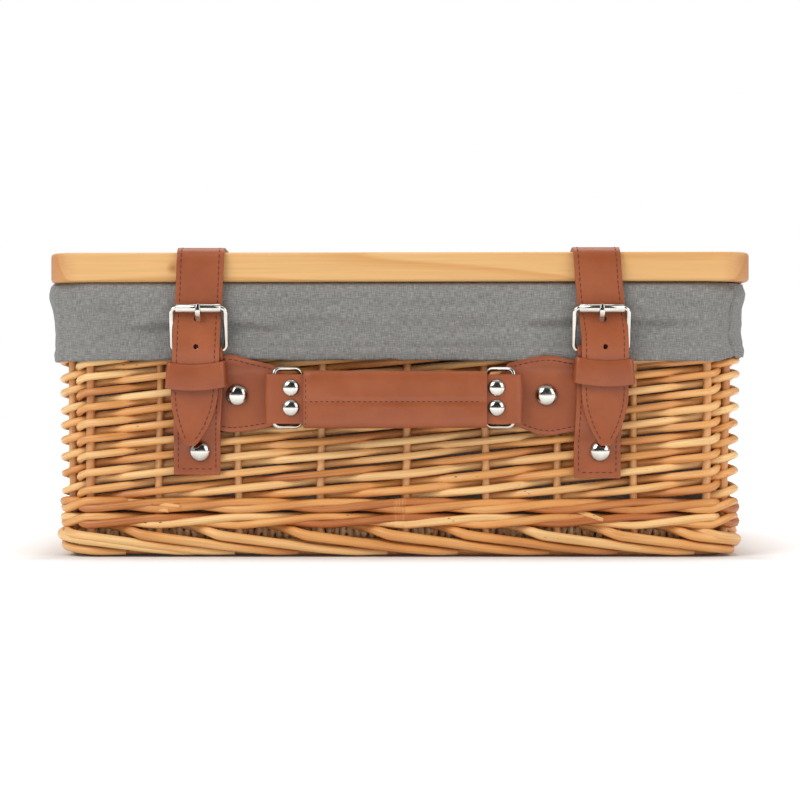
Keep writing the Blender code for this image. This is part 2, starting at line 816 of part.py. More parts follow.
def make_lid_strap(side, lid_board):
    """The strap where it lies on the lid, round both edges as far as the hinge line and the tail."""
    centre = SIDES[side] * STRAPS_APART / 2
    drop = STRAP_TOP_Z - STRAP_TURN_Z
    bend = []
    for step in range(4):
        turn = math.radians(90 * step / 3)
        bend.append(
            (
                STRAP_Y - drop + drop * math.cos(turn),
                STRAP_TOP_Z - drop + drop * math.sin(turn),
            )
        )
    rear = [(STRAP_Y, LID_BOTTOM + HINGE_GAP)] + bend
    front = [(-y, z) for y, z in reversed(bend)]
    path = rear + front + [(-STRAP_Y, STRAP_TURN_Z - STRAP_THICKNESS / 2)]
    halves = [STRAP_WIDTH / 2] * len(path)
    name = side + "_lid_strap"
    strap = ribbon(name, path, halves, STRAP_THICKNESS, centre, LEATHER)
    face = STRAP_TOP_Z + STRAP_THICKNESS / 2
    length = STRAP_THICKNESS + GAP + SCREW_DEPTH
    for end, way in (("front", -1), ("rear", 1)):
        seat = (centre, way * (LID_DEPTH / 2 - LID_SCREW_INSET), face)
        name = f"{side}_strap_{end}_screw"
        make_screw(name, seat, (0, 0, 1), length, (strap, lid_board))


def tail_path():
    """Middle line of the hanging end: off the lid, behind the roller, over the fold, through the keeper."""
    half = STRAP_THICKNESS / 2
    clear = GAP + half
    top = STRAP_TURN_Z - STRAP_THICKNESS / 2 - GAP
    behind_roller = FRONT - ROLLER_OUT + ROLLER_RADIUS + clear
    fold_radius = WIRE_RADIUS + PLAY + BUCKLE_STRAP_FOLD_WALL
    over_fold = FRONT - BUCKLE_HEEL_OUT - fold_radius - clear - PLAY
    over_strap = FRONT - BUCKLE_STRAP_OUT - BUCKLE_STRAP_THICKNESS / 2 - clear
    slack = PLAY * 2
    drop = BUCKLE_HEEL_Z - KEEPER_BOTTOM
    return [
        (-STRAP_Y, top),
        (-STRAP_Y, (top + ROLLER_Z) / 2),
        (behind_roller, ROLLER_Z),
        ((behind_roller + over_fold) / 2 - slack, ROLLER_Z - drop * 0.32),
        (over_fold, ROLLER_Z - drop * 0.68),
        (over_fold, BUCKLE_HEEL_Z),
        (over_fold + slack, BUCKLE_HEEL_Z - drop * 0.3),
        (over_strap - slack, BUCKLE_HEEL_Z - drop * 0.66),
        (over_strap, KEEPER_BOTTOM),
        (over_strap, (KEEPER_BOTTOM + TAIL_TIP_Z) / 2),
        (over_strap, TAIL_TIP_Z),
    ]


def tail_hole_z():
    """Height of the hole that the prong goes through."""
    return ROLLER_Z - ROLLER_RADIUS * 2.4


def make_tail(side):
    """The strap end that hangs in front, with its point and its prong holes."""
    centre = SIDES[side] * STRAPS_APART / 2
    path = smooth_path(tail_path())
    half_widths = []
    for _, z in path:
        share = min(1, max(0, (z - TAIL_TIP_Z) / TAIL_POINT_LENGTH))
        spread = math.sin(share * math.pi / 2) ** 0.8
        half_widths.append(
            TAIL_TIP_HALF_WIDTH + (STRAP_WIDTH / 2 - TAIL_TIP_HALF_WIDTH) * spread
        )
    tail = ribbon(
        side + "_strap_tail", path, half_widths, STRAP_THICKNESS, centre, LEATHER
    )
    reach = BUCKLE_HEEL_OUT + ROLLER_OUT
    for drop in (0, SECOND_HOLE_DROP):
        z = tail_hole_z() - drop
        tool = bar(
            "hole",
            (centre, FRONT + OVERRUN, z),
            (centre, FRONT - reach, z),
            HOLE_RADIUS,
            LEATHER,
            sides=10,
        )
        cut(tail, tool)
    return tail


def buckle_centres():
    """(y, z) of the heel bar and of the bar under the roller."""
    return (
        Vector((FRONT - BUCKLE_HEEL_OUT, BUCKLE_HEEL_Z)),
        Vector((FRONT - ROLLER_OUT, ROLLER_Z)),
    )


def make_buckle(side):
    """The buckle's wire frame, the roller on its upper bar and the prong on its heel bar."""
    centre = SIDES[side] * STRAPS_APART / 2
    heel, top = buckle_centres()
    middle, rise = (heel + top) / 2, top - heel
    tilt = math.atan2(rise.y, rise.x)
    place = Matrix.Translation((centre, middle.x, middle.y)) @ Matrix.Rotation(
        tilt, 4, "X"
    )
    wire_loop(
        side + "_buckle_frame",
        BUCKLE_CORNER,
        BUCKLE_HALF_WIDTH,
        rise.length / 2,
        place,
        NICKEL,
    )
    half = ROLLER_LENGTH / 2
    ends = (centre - half, top.x, top.y), (centre + half, top.x, top.y)
    roller = bar(side + "_buckle_roller", *ends, ROLLER_RADIUS, NICKEL, sides=12)
    past = half + OVERRUN
    bore = bar(
        "bore",
        (centre - past, top.x, top.y),
        (centre + past, top.x, top.y),
        WIRE_RADIUS + PLAY,
        NICKEL,
    )
    cut(roller, bore)
    make_prong(side, centre, heel, top)


def make_prong(side, centre, heel, top):
    """The prong: an eye on the heel bar, up behind the strap and out through its hole over the roller."""
    eye_radius = WIRE_RADIUS + PLAY + PRONG_EYE_WALL
    half = PRONG_THICKNESS / 2
    front_of_roller = top.x - ROLLER_RADIUS - GAP - half
    hole = tail_hole_z()
    path = [
        (heel.x, heel.y + WIRE_RADIUS + PLAY + half),
        (heel.x - eye_radius * 0.35, heel.y + eye_radius * 1.6),
        (heel.x - eye_radius * 0.45, hole - ROLLER_RADIUS * 0.65),
        (top.x + half, hole),
        (front_of_roller - PLAY, top.y - ROLLER_RADIUS * 0.85),
        (front_of_roller - PLAY, top.y + ROLLER_RADIUS * 0.55),
        (front_of_roller + half, top.y + ROLLER_RADIUS * 1.35),
    ]
    low = centre - PRONG_WIDTH / 2
    outline = [(low, y, z) for y, z in thick_path(path, PRONG_THICKNESS)]
    prong = extrude(side + "_buckle_prong", outline, (PRONG_WIDTH, 0, 0), NICKEL)
    ends = (low, heel.x, heel.y), (low + PRONG_WIDTH, heel.x, heel.y)
    join(prong, bar("eye", *ends, eye_radius, NICKEL, sides=12))
    past = PRONG_WIDTH / 2 + OVERRUN
    bore = bar(
        "bore",
        (centre - past, heel.x, heel.y),
        (centre + past, heel.x, heel.y),
        WIRE_RADIUS + PLAY,
        NICKEL,
    )
    return cut(prong, bore)


def buckle_strap_path():
    """Middle line of the riveted strap, from its square end on the wall up to just under the heel bar."""
    half = BUCKLE_STRAP_THICKNESS / 2
    anchor_foot = HANDLE_Z - ANCHOR_FOOT
    on_wall = FRONT - wall_out_at(anchor_foot) - GAP * 2 - half
    over_anchor = FRONT - ANCHOR_THICKNESS - GAP * 3 - half
    standing = FRONT - BUCKLE_STRAP_OUT
    return [
        (on_wall, BUCKLE_STRAP_BOTTOM),
        (on_wall, BUCKLE_RIVET_Z),
        (on_wall, BUCKLE_RIVET_Z + RIVET_HEAD_RADIUS),
        (over_anchor, anchor_foot),
        (standing, anchor_foot + half * 4),
        (standing, (anchor_foot + KEEPER_BOTTOM) / 2),
        (standing, KEEPER_BOTTOM),
        (standing, BUCKLE_HEEL_Z - half),
    ]


def make_buckle_strap(side, weave):
    """The strap that carries the buckle: riveted to the wall below, folded round the heel bar above."""
    centre = SIDES[side] * STRAPS_APART / 2
    path = smooth_path(buckle_strap_path(), steps=2)
    half = STRAP_WIDTH / 2
    strap = ribbon(
        side + "_buckle_strap",
        path,
        [half] * len(path),
        BUCKLE_STRAP_THICKNESS,
        centre,
        LEATHER,
    )
    heel, _ = buckle_centres()
    radius = WIRE_RADIUS + PLAY + BUCKLE_STRAP_FOLD_WALL
    ends = (centre - half, heel.x, heel.y), (centre + half, heel.x, heel.y)
    join(strap, bar("fold", *ends, radius, LEATHER, sides=12))
    past = half + OVERRUN
    bore = bar(
        "bore",
        (centre - past, heel.x, heel.y),
        (centre + past, heel.x, heel.y),
        WIRE_RADIUS + PLAY,
        LEATHER,
    )
    cut(strap, bore)
    slot = PRONG_SLOT_WIDTH / 2
    tool = block(
        "slot",
        (centre - slot, heel.x - radius - OVERRUN, heel.y - PRONG_SLOT_DEPTH),
        (centre + slot, heel.x + radius + OVERRUN, heel.y + radius + OVERRUN),
        LEATHER,
    )
    cut(strap, tool)
    face = path_at(path, BUCKLE_RIVET_Z) - BUCKLE_STRAP_THICKNESS / 2
    seat = (beside_stakes(centre, "front"), face, BUCKLE_RIVET_Z)
    make_wall_rivet(side + "_buckle_strap_rivet", seat, -1, (strap, weave))


def path_at(path, z):
    """The y of a strap's middle line at a height."""
    for (y0, z0), (y1, z1) in zip(path, path[1:]):
        if min(z0, z1) <= z <= max(z0, z1):
            return y0 + (y1 - y0) * (z - z0) / (z1 - z0)
    return path[-1][0]


def rivet_profile(head_radius, head_height, burr_radius, length):
    """A dome-headed rivet's section, from the flat burr at the end of its shank to the top of its head."""
    dome = []
    for step in range(1, DOME_STEPS):
        angle = math.radians(90 * step / DOME_STEPS)
        dome.append((head_radius * math.cos(angle), head_height * math.sin(angle)))
    return [
        (0, -length),
        (burr_radius, -length),
        (burr_radius, RIVET_BURR_THICKNESS - length),
        (RIVET_SHANK_RADIUS, RIVET_BURR_THICKNESS - length),
        (RIVET_SHANK_RADIUS, 0),
        (head_radius, 0),
        *dome,
        (0, head_height),
    ]


def rivet_hole_profile(burr_radius, length):
    """The section of the hole for a rivet, open past both faces of what it fastens."""
    shank = RIVET_SHANK_RADIUS + GAP
    burr = burr_radius + GAP
    burr_top = RIVET_BURR_THICKNESS + GAP * 2 - length
    below = -length - OVERRUN
    return [(0, below), (burr, below), (burr, burr_top), (shank, burr_top), (shank, OVERRUN), (0, OVERRUN)]


def make_rivet(name, seat, way, length, sizes, pierced):
    """A rivet along Y, its head on seat and its burr let into the far face of what it fastens.

    sizes are its head's radius and height and its burr's radius."""
    direction = (0, way, 0)
    for piece in pierced:
        hole = rivet_hole_profile(sizes[2], length)
        cut(piece, turned("hole", hole, seat, direction, NICKEL))
    at = Vector(seat) + Vector(direction) * GAP
    return turned(name, rivet_profile(*sizes, length), at, direction, NICKEL)


def make_wall_rivet(name, seat, way, pierced):
    """A rivet through the woven wall, from a leather piece outside it."""
    length = abs(seat[1]) - INNER_HALF_Y
    sizes = (RIVET_HEAD_RADIUS, RIVET_HEAD_HEIGHT, RIVET_BURR_RADIUS)
    return make_rivet(name, seat, way, length, sizes, pierced)


def make_keeper(side):
    """The leather loop that holds the strap end down."""
    centre = SIDES[side] * (STRAPS_APART / 2 + KEEPER_ASIDE)
    half = KEEPER_HALF_WIDTH
    middle = FRONT - KEEPER_BACK_OUT - KEEPER_DEPTH / 2
    outer = rounded_outline(half, KEEPER_DEPTH / 2, KEEPER_CORNER, steps=3)
    wall = KEEPER_LEATHER
    inner = rounded_outline(
        half - wall, KEEPER_DEPTH / 2 - wall, KEEPER_CORNER - wall, steps=3
    )
    shape = bmesh.new()
    loops = []
    top = KEEPER_BOTTOM + KEEPER_HEIGHT
    for outline, z in (
        (outer, KEEPER_BOTTOM),
        (outer, top),
        (inner, top),
        (inner, KEEPER_BOTTOM),
    ):
        loops.append(
            [shape.verts.new((centre + x, middle + y, z)) for x, y in outline]
        )
    for i, loop in enumerate(loops):
        bridge(shape, loop, loops[(i + 1) % len(loops)])
    return make_object(side + "_keeper", shape, LEATHER)


def make_anchor(side, weave):
    """A leather tab riveted to the wall, with an eye for the ring at its inner end."""
    sign = SIDES[side]
    pivot = HANDLE_SHIFT + sign * RING_PIVOT_AT
    back = FRONT - GAP
    front = back - ANCHOR_THICKNESS
    half = ANCHOR_EYE_HEIGHT / 2
    top = CUFF_HEM - ANCHOR_UNDER_HEM - HANDLE_Z
    length = STRAPS_APART / 2 + ANCHOR_REACH - sign * pivot
    narrow = length * 0.12
    wide = length * 0.26
    end_round = ANCHOR_FOOT * 0.2
    plan = [
        (0, -half),
        (narrow, -half),
        (wide, -ANCHOR_FOOT * 0.84),
        (length - end_round, -ANCHOR_FOOT),
        (length, -ANCHOR_FOOT + end_round),
        (length, top - end_round),
        (length - end_round, top),
        (wide, top * 0.8),
        (narrow, half),
        (0, half),
    ]
    outline = [(pivot + sign * x, back, HANDLE_Z + z) for x, z in plan]
    tab = extrude(side + "_handle_anchor", outline, (0, front - back, 0), LEATHER)
    eye_y = FRONT - RING_PIVOT_OUT
    ends = (pivot, eye_y, HANDLE_Z - half), (pivot, eye_y, HANDLE_Z + half)
    join(tab, bar("eye", *ends, ANCHOR_EYE_RADIUS, LEATHER, sides=12))
    past = half + OVERRUN
    bore = bar(
        "bore",
        (pivot, eye_y, HANDLE_Z - past),
        (pivot, eye_y, HANDLE_Z + past),
        WIRE_RADIUS + PLAY,
        LEATHER,
    )
    cut(tab, bore)
    strap_edge = (STRAPS_APART - STRAP_WIDTH) / 2
    rivet_x = beside_stakes(sign * (strap_edge - ANCHOR_RIVET_BESIDE[side]), "front")
    seat = (rivet_x, front, HANDLE_Z + ANCHOR_RIVET_RAISE)
    make_wall_rivet(side + "_anchor_rivet", seat, -1, (tab, weave))


def ring_rest_angle():
    """How far the ring leans out from the wall at rest."""
    return math.asin((RING_REST_OUT - RING_PIVOT_OUT) / RING_WIDTH)


def make_ring(side):
    """The wire ring between an anchor's eye and the handle's loop."""
    sign = SIDES[side]
    lean = ring_rest_angle()
    middle = RING_WIDTH / 2
    place = (
        Matrix.Translation(
            (
                HANDLE_SHIFT + sign * (RING_PIVOT_AT + middle * math.cos(lean)),
                FRONT - RING_PIVOT_OUT - middle * math.sin(lean),
                HANDLE_Z,
            )
        )
        @ Matrix.Rotation(-sign * lean, 4, "Z")
        @ Matrix.Rotation(math.radians(90), 4, "X")
    )
    return wire_loop(
        side + "_handle_ring", RING_CORNER, middle, RING_HALF_HEIGHT, place, NICKEL
    )


def handle_half_plan():
    """Plan of half the handle's strap, as (distance from its middle, distance past the wall)."""
    end = HANDLE_HALF_LENGTH
    loop_depth = HANDLE_FRONT_OUT - HANDLE_LOOP_BACK_OUT
    corner = loop_depth * 0.3
    return [
        (HANDLE_LOOP_INNER - HANDLE_STEP, HANDLE_BACK_OUT),
        (HANDLE_LOOP_INNER, HANDLE_LOOP_BACK_OUT),
        (end - corner, HANDLE_LOOP_BACK_OUT),
        (end, HANDLE_LOOP_BACK_OUT + corner),
        (end, HANDLE_FRONT_OUT - corner),
        (end - corner, HANDLE_FRONT_OUT),
    ]


def make_handle():
    """The handle's strap with a loop at each end, its rivets, and the sewn grip round its middle."""
    half = handle_half_plan()
    low = HANDLE_Z - HANDLE_TAB_HEIGHT / 2
    plan = half + [(-x, out) for x, out in reversed(half)]
    outline = [(HANDLE_SHIFT + x, FRONT - out, low) for x, out in plan]
    strap = extrude("handle_strap", outline, (0, 0, HANDLE_TAB_HEIGHT), LEATHER)
    for side, sign in SIDES.items():
        near = sign * HANDLE_LOOP_INNER
        far = sign * (HANDLE_HALF_LENGTH - HANDLE_LEATHER)
        tool = block(
            "loop",
            (
                HANDLE_SHIFT + min(near, far),
                FRONT - HANDLE_FRONT_OUT + HANDLE_LEATHER,
                low - OVERRUN,
            ),
            (
                HANDLE_SHIFT + max(near, far),
                FRONT - HANDLE_LOOP_BACK_OUT - HANDLE_LEATHER,
                low + HANDLE_TAB_HEIGHT + OVERRUN,
            ),
            LEATHER,
        )
        cut(strap, tool)
        rivet_x = HANDLE_SHIFT + sign * (HANDLE_HALF_LENGTH - HANDLE_RIVET_INSET)
        length = HANDLE_FRONT_OUT - HANDLE_BACK_OUT
        sizes = (HANDLE_RIVET_RADIUS, HANDLE_RIVET_HEIGHT, HANDLE_BURR_RADIUS)
        for place, way in (("upper", 1), ("lower", -1)):
            rivet_z = HANDLE_Z + way * HANDLE_RIVETS_APART / 2
            seat = (rivet_x, FRONT - HANDLE_FRONT_OUT, rivet_z)
            name = f"{side}_handle_{place}_rivet"
            make_rivet(name, seat, -1, length, sizes, (strap,))


def make_grip():
    """The sewn sleeve round the middle of the handle."""
    corner = GRIP_DEPTH * 0.3
    outer = rounded_outline(GRIP_DEPTH / 2, GRIP_HEIGHT / 2, corner, steps=2)
    out = GRIP_BACK_OUT + GRIP_DEPTH / 2
    levels = []
    for x in (-GRIP_HALF_LENGTH, GRIP_HALF_LENGTH):
        levels.append(
            [(HANDLE_SHIFT + x, FRONT - out + y, HANDLE_Z + z) for y, z in outer]
        )
    grip = stack("handle_grip", levels, LEATHER)
    past = GRIP_HALF_LENGTH + OVERRUN
    half = HANDLE_TAB_HEIGHT / 2 + GAP
    tool = block(
        "sleeve",
        (HANDLE_SHIFT - past, FRONT - HANDLE_FRONT_OUT - GAP, HANDLE_Z - half),
        (HANDLE_SHIFT + past, FRONT - HANDLE_BACK_OUT + GAP, HANDLE_Z + half),
        LEATHER,
    )
    return cut(grip, tool)


def hinge_strap_path():
    """Middle line of the strap behind the basket, from its square end on the wall up to the hinge line."""
    half = STRAP_THICKNESS / 2
    back = WALL_HALF_Y
    on_wall = back + GAP + half
    over_cuff = max(back + CUFF_BULGE + CLOTH / 2 + GAP + half, STRAP_Y)
    clear = back + CUFF_HEM_BULGE + CLOTH + GAP + half
    return [
        (on_wall, HINGE_STRAP_BOTTOM),
        (on_wall, HINGE_RIVET_Z),
        (on_wall, HINGE_UPPER_RIVET_Z + RIVET_HEAD_RADIUS),
        (clear, CUFF_HEM - half * 2),
        (clear + half, (CUFF_HEM + CUFF_TOP) / 2 - half * 4),
        (over_cuff, (CUFF_HEM + CUFF_TOP) / 2 + half * 4),
        (over_cuff, LID_BOTTOM - HINGE_GAP),
    ]


def make_hinge_strap(side, weave):
    """The strap's end behind the basket, held by two rivets. Above it the leather bends as a hinge."""
    centre = SIDES[side] * STRAPS_APART / 2
    path = smooth_path(hinge_strap_path(), steps=2)
    halves = [STRAP_WIDTH / 2] * len(path)
    name = side + "_hinge_strap"
    strap = ribbon(name, path, halves, STRAP_THICKNESS, centre, LEATHER)
    for place, z in (("upper", HINGE_UPPER_RIVET_Z), ("lower", HINGE_RIVET_Z)):
        seat = (beside_stakes(centre, "back"), path_at(path, z) + STRAP_THICKNESS / 2, z)
        make_wall_rivet(f"{side}_hinge_{place}_rivet", seat, 1, (strap, weave))


def make_empty(name, place, carrier, pieces):
    """An empty on a joint's axis, held by a carrier, with the named pieces that move about it."""
    empty = bpy.data.objects.new(name, None)
    bpy.context.scene.collection.objects.link(empty)
    empty.location = place
    if carrier:
        hold(carrier, (empty,))
    hold(empty, [bpy.data.objects[piece] for piece in pieces])
    return empty


def hold(carrier, pieces):
    """Parents pieces to a carrier. Below the basket's own empty they keep the place that they have."""
    for piece in pieces:
        piece.parent = carrier
        if carrier.parent:
            piece.matrix_parent_inverse = Matrix.Translation(-carrier.location)


def set_joints():
    """Parents each moving piece to an empty on its joint's axis, and the rest to the basket's."""
    basket = make_empty("basket", (0, SET_BACK, 0), None, ())
    lid_pieces = ["lid_board"]
    for side in SIDES:
        lid_pieces += [side + "_batten", side + "_lid_strap"]
        for end in ("front", "rear"):
            lid_pieces += [f"{side}_batten_{end}_screw", f"{side}_strap_{end}_screw"]
    hinge = (0, STRAP_Y - STRAP_THICKNESS / 2, LID_BOTTOM)
    lid = make_empty("lid_hinge", hinge, basket, lid_pieces)
    handle_pieces = ["handle_strap", "handle_grip"]
    for side, sign in SIDES.items():
        handle_pieces += [f"{side}_handle_{place}_rivet" for place in ("upper", "lower")]
        centre = sign * STRAPS_APART / 2
        make_empty(side + "_strap_lift", (centre, -STRAP_Y, STRAP_TURN_Z), lid, [side + "_strap_tail"])
        heel, top = ((centre, at.x, at.y) for at in buckle_centres())
        swing = make_empty(side + "_buckle_swing", heel, basket, [side + "_buckle_frame"])
        make_empty(side + "_prong_swing", heel, swing, [side + "_buckle_prong"])
        make_empty(side + "_roller_spin", top, swing, [side + "_buckle_roller"])
        keeper = (centre, FRONT - KEEPER_BACK_OUT, KEEPER_BOTTOM)
        make_empty(side + "_keeper_slide", keeper, basket, [side + "_keeper"])
        pivot = (HANDLE_SHIFT + sign * RING_PIVOT_AT, FRONT - RING_PIVOT_OUT, HANDLE_Z)
        make_empty(side + "_ring_swing", pivot, basket, [side + "_handle_ring"])
    middle = (HANDLE_SHIFT, FRONT - HANDLE_FRONT_OUT, HANDLE_Z)
    make_empty("handle_pull", middle, basket, handle_pieces)
    loose = [piece for piece in bpy.data.objects if piece.parent is None and piece is not basket]
    hold(basket, loose)


def main():
    for old in list(bpy.data.objects):
        bpy.data.objects.remove(old)
    make_foot()
    make_base()
    make_wall_band("lower_wale", WALE_BOTTOM, WALE_TOP)
    weave = make_side_weave()
    for side in ("front", "right", "back", "left"):
        make_stakes(side)
    make_liner_bag()
    make_liner_cuff()
    lid_board = make_lid_board()
    make_battens(lid_board)
    for side in SIDES:
        make_lid_strap(side, lid_board)
        make_tail(side)
        make_buckle(side)
        make_buckle_strap(side, weave)
        make_keeper(side)
        make_anchor(side, weave)
        make_ring(side)
        make_hinge_strap(side, weave)
    make_handle()
    make_grip()
    set_joints()


main()
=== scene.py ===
"""The look of a lidded willow basket: woven rods, a grey cloth liner, a pine lid, leather straps and nickel
hardware, built round the basket's own solids. Units are metres, +Z is up and the front faces -Y."""

import math
import random

import bmesh
import bpy
import numpy as np
from mathutils import Matrix, Vector, noise


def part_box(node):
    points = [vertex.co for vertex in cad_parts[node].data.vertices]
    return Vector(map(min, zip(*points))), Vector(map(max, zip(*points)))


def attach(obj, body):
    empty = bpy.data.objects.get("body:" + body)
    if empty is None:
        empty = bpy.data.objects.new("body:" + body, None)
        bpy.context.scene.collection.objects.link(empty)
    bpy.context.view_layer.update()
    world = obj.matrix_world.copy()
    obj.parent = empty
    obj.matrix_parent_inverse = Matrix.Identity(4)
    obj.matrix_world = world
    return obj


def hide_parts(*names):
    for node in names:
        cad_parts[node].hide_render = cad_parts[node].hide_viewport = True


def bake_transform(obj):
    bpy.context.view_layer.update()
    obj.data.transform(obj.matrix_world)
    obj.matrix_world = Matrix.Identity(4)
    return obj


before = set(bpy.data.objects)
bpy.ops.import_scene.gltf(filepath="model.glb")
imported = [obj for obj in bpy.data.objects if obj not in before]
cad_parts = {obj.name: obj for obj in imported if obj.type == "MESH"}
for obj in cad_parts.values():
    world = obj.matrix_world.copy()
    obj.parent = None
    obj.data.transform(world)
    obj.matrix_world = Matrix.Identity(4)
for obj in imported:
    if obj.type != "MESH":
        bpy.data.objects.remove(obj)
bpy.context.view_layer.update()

# Places shared with the basket's solids
MIDDLE_Y = 0.004
WALL_X = 0.1905
WALL_Y = 0.144
FRONT = MIDDLE_Y - WALL_Y
BACK = MIDDLE_Y + WALL_Y
WALL_CORNER = 0.025
WALL_TAPER = 0.002
RIM_Z = 0.1486
STRAP_X = 0.10925
STRAP_HALF = 0.01275
STRAP_THICK = 0.0024
HEEL = Vector((0, -0.1466, 0.1135))
ROLLER = Vector((0, -0.1529, 0.1360))
HANDLE_X = -0.0034
HANDLE_Z = 0.0875
SIDES = {"left": -1, "right": 1}


# Finishes


def shade(red, green, blue):
    """A colour given as it looks, on 0 to 255, for a shader."""
    values = []
    for part in (red, green, blue):
        part /= 255
        values.append(part / 12.92 if part <= 0.04045 else ((part + 0.055) / 1.055) ** 2.4)
    return (*values, 1)


def add(tree, kind, inputs=None, **settings):
    """A node with its settings made and its inputs set or linked."""
    made = tree.nodes.new(kind)
    for key, value in settings.items():
        setattr(made, key, value)
    for key, value in (inputs or {}).items():
        socket = made.inputs[key]
        if isinstance(value, bpy.types.NodeSocket):
            tree.links.new(value, socket)
        else:
            socket.default_value = value
    return made


def new_finish(name, roughness, metallic=0.0, **sockets):
    """A material and its shader, with the uniform values set on the shader's own sockets."""
    made = bpy.data.materials.new(name)
    made.use_nodes = True
    shader = made.node_tree.nodes["Principled BSDF"]
    shader.inputs["Roughness"].default_value = roughness
    shader.inputs["Metallic"].default_value = metallic
    for key, value in sockets.items():
        shader.inputs[key.replace("_", " ")].default_value = value
    return made, made.node_tree, shader


def ramp(tree, fac, *stops):
    """A colour ramp of (position, colour) stops."""
    made = add(tree, "ShaderNodeValToRGB", {"Fac": fac})
    elements = made.color_ramp.elements
    while len(elements) < len(stops):
        elements.new(0.5)
    for element, (position, colour) in zip(elements, stops):
        element.position = position
        element.color = colour
    return made.outputs["Color"]


def grey(value):
    return (value, value, value, 1)


def stretched(tree, vector, scale, turn=(0, 0, 0)):
    """The coordinates scaled unevenly, so that a pattern is drawn out."""
    return add(tree, "ShaderNodeMapping", {"Vector": vector, "Scale": scale, "Rotation": turn}).outputs["Vector"]


def cloudy(tree, vector, scale, detail=3.0, rough=0.5):
    """Noise from 0 to 1."""
    inputs = {"Vector": vector, "Scale": scale, "Detail": detail, "Roughness": rough}
    return add(tree, "ShaderNodeTexNoise", inputs).outputs["Fac"]


def blend_colours(tree, fac, first, second, mode="MIX"):
    """Two colours mixed by fac."""
    made = add(tree, "ShaderNodeMix", data_type="RGBA", blend_type=mode)
    for socket, value in ((made.inputs[0], fac), (made.inputs[6], first), (made.inputs[7], second)):
        if isinstance(value, bpy.types.NodeSocket):
            tree.links.new(value, socket)
        else:
            socket.default_value = value
    return made.outputs[2]


def reckon(tree, operation, first, second=0.5, third=0.5):
    """One sum on numbers."""
    made = add(tree, "ShaderNodeMath", operation=operation)
    for socket, value in zip(made.inputs, (first, second, third)):
        if isinstance(value, bpy.types.NodeSocket):
            tree.links.new(value, socket)
        else:
            socket.default_value = value
    return made.outputs[0]


def place_coords(tree):
    return add(tree, "ShaderNodeTexCoord").outputs["Object"]


def raise_surface(tree, shader, height, distance, strength=1.0):
    """Bump from a height between 0 and 1."""
    inputs = {"Height": height, "Distance": distance, "Strength": strength}
    tree.links.new(add(tree, "ShaderNodeBump", inputs).outputs["Normal"], shader.inputs["Normal"])


def set_input(tree, shader, name, value):
    tree.links.new(value, shader.inputs[name])


def willow_finish(name, dark, middle, light):
    """Steamed willow: a tone for each rod, long streaks, small dark nicks where shoots were, a waxy gloss."""
    made, tree, shader = new_finish(name, 0.38, Specular_IOR_Level=0.6)
    rod = add(tree, "ShaderNodeAttribute", attribute_name="rod").outputs["Vector"]
    tone = add(tree, "ShaderNodeAttribute", attribute_name="tone").outputs["Fac"]
    patches = cloudy(tree, stretched(tree, rod, (30, 30, 14)), 1.0, 2.0)
    streaks = cloudy(tree, stretched(tree, rod, (900, 900, 26)), 1.0, 3.0)
    mixed = reckon(tree, "MULTIPLY_ADD", patches, 1.1, reckon(tree, "SUBTRACT", tone, 0.55))
    colour = ramp(tree, mixed, (0.12, dark), (0.45, middle), (0.85, light))
    lines = ramp(tree, streaks, (0.30, grey(0.80)), (0.55, grey(1.0)), (0.8, grey(1.06)))
    colour = blend_colours(tree, 1.0, colour, lines, "MULTIPLY")
    spots = add(tree, "ShaderNodeTexVoronoi", {"Vector": stretched(tree, rod, (420, 420, 170)), "Scale": 1.0})
    few = cloudy(tree, stretched(tree, rod, (60, 60, 40)), 1.0, 0.0)
    nick = reckon(tree, "ADD", spots.outputs["Distance"], reckon(tree, "MULTIPLY_ADD", few, -0.6, 0.5))
    marks = ramp(tree, nick, (0.15, grey(0.9)), (0.21, grey(0.0)))
    colour = blend_colours(tree, marks, colour, shade(112, 60, 26))
    set_input(tree, shader, "Base Color", colour)
    gloss = ramp(tree, streaks, (0.2, grey(0.30)), (0.8, grey(0.44)))
    set_input(tree, shader, "Roughness", gloss)
    height = reckon(tree, "MULTIPLY_ADD", streaks, 0.5, reckon(tree, "MULTIPLY", marks, -0.6))
    raise_surface(tree, shader, height, 0.00035, 0.7)
    return made


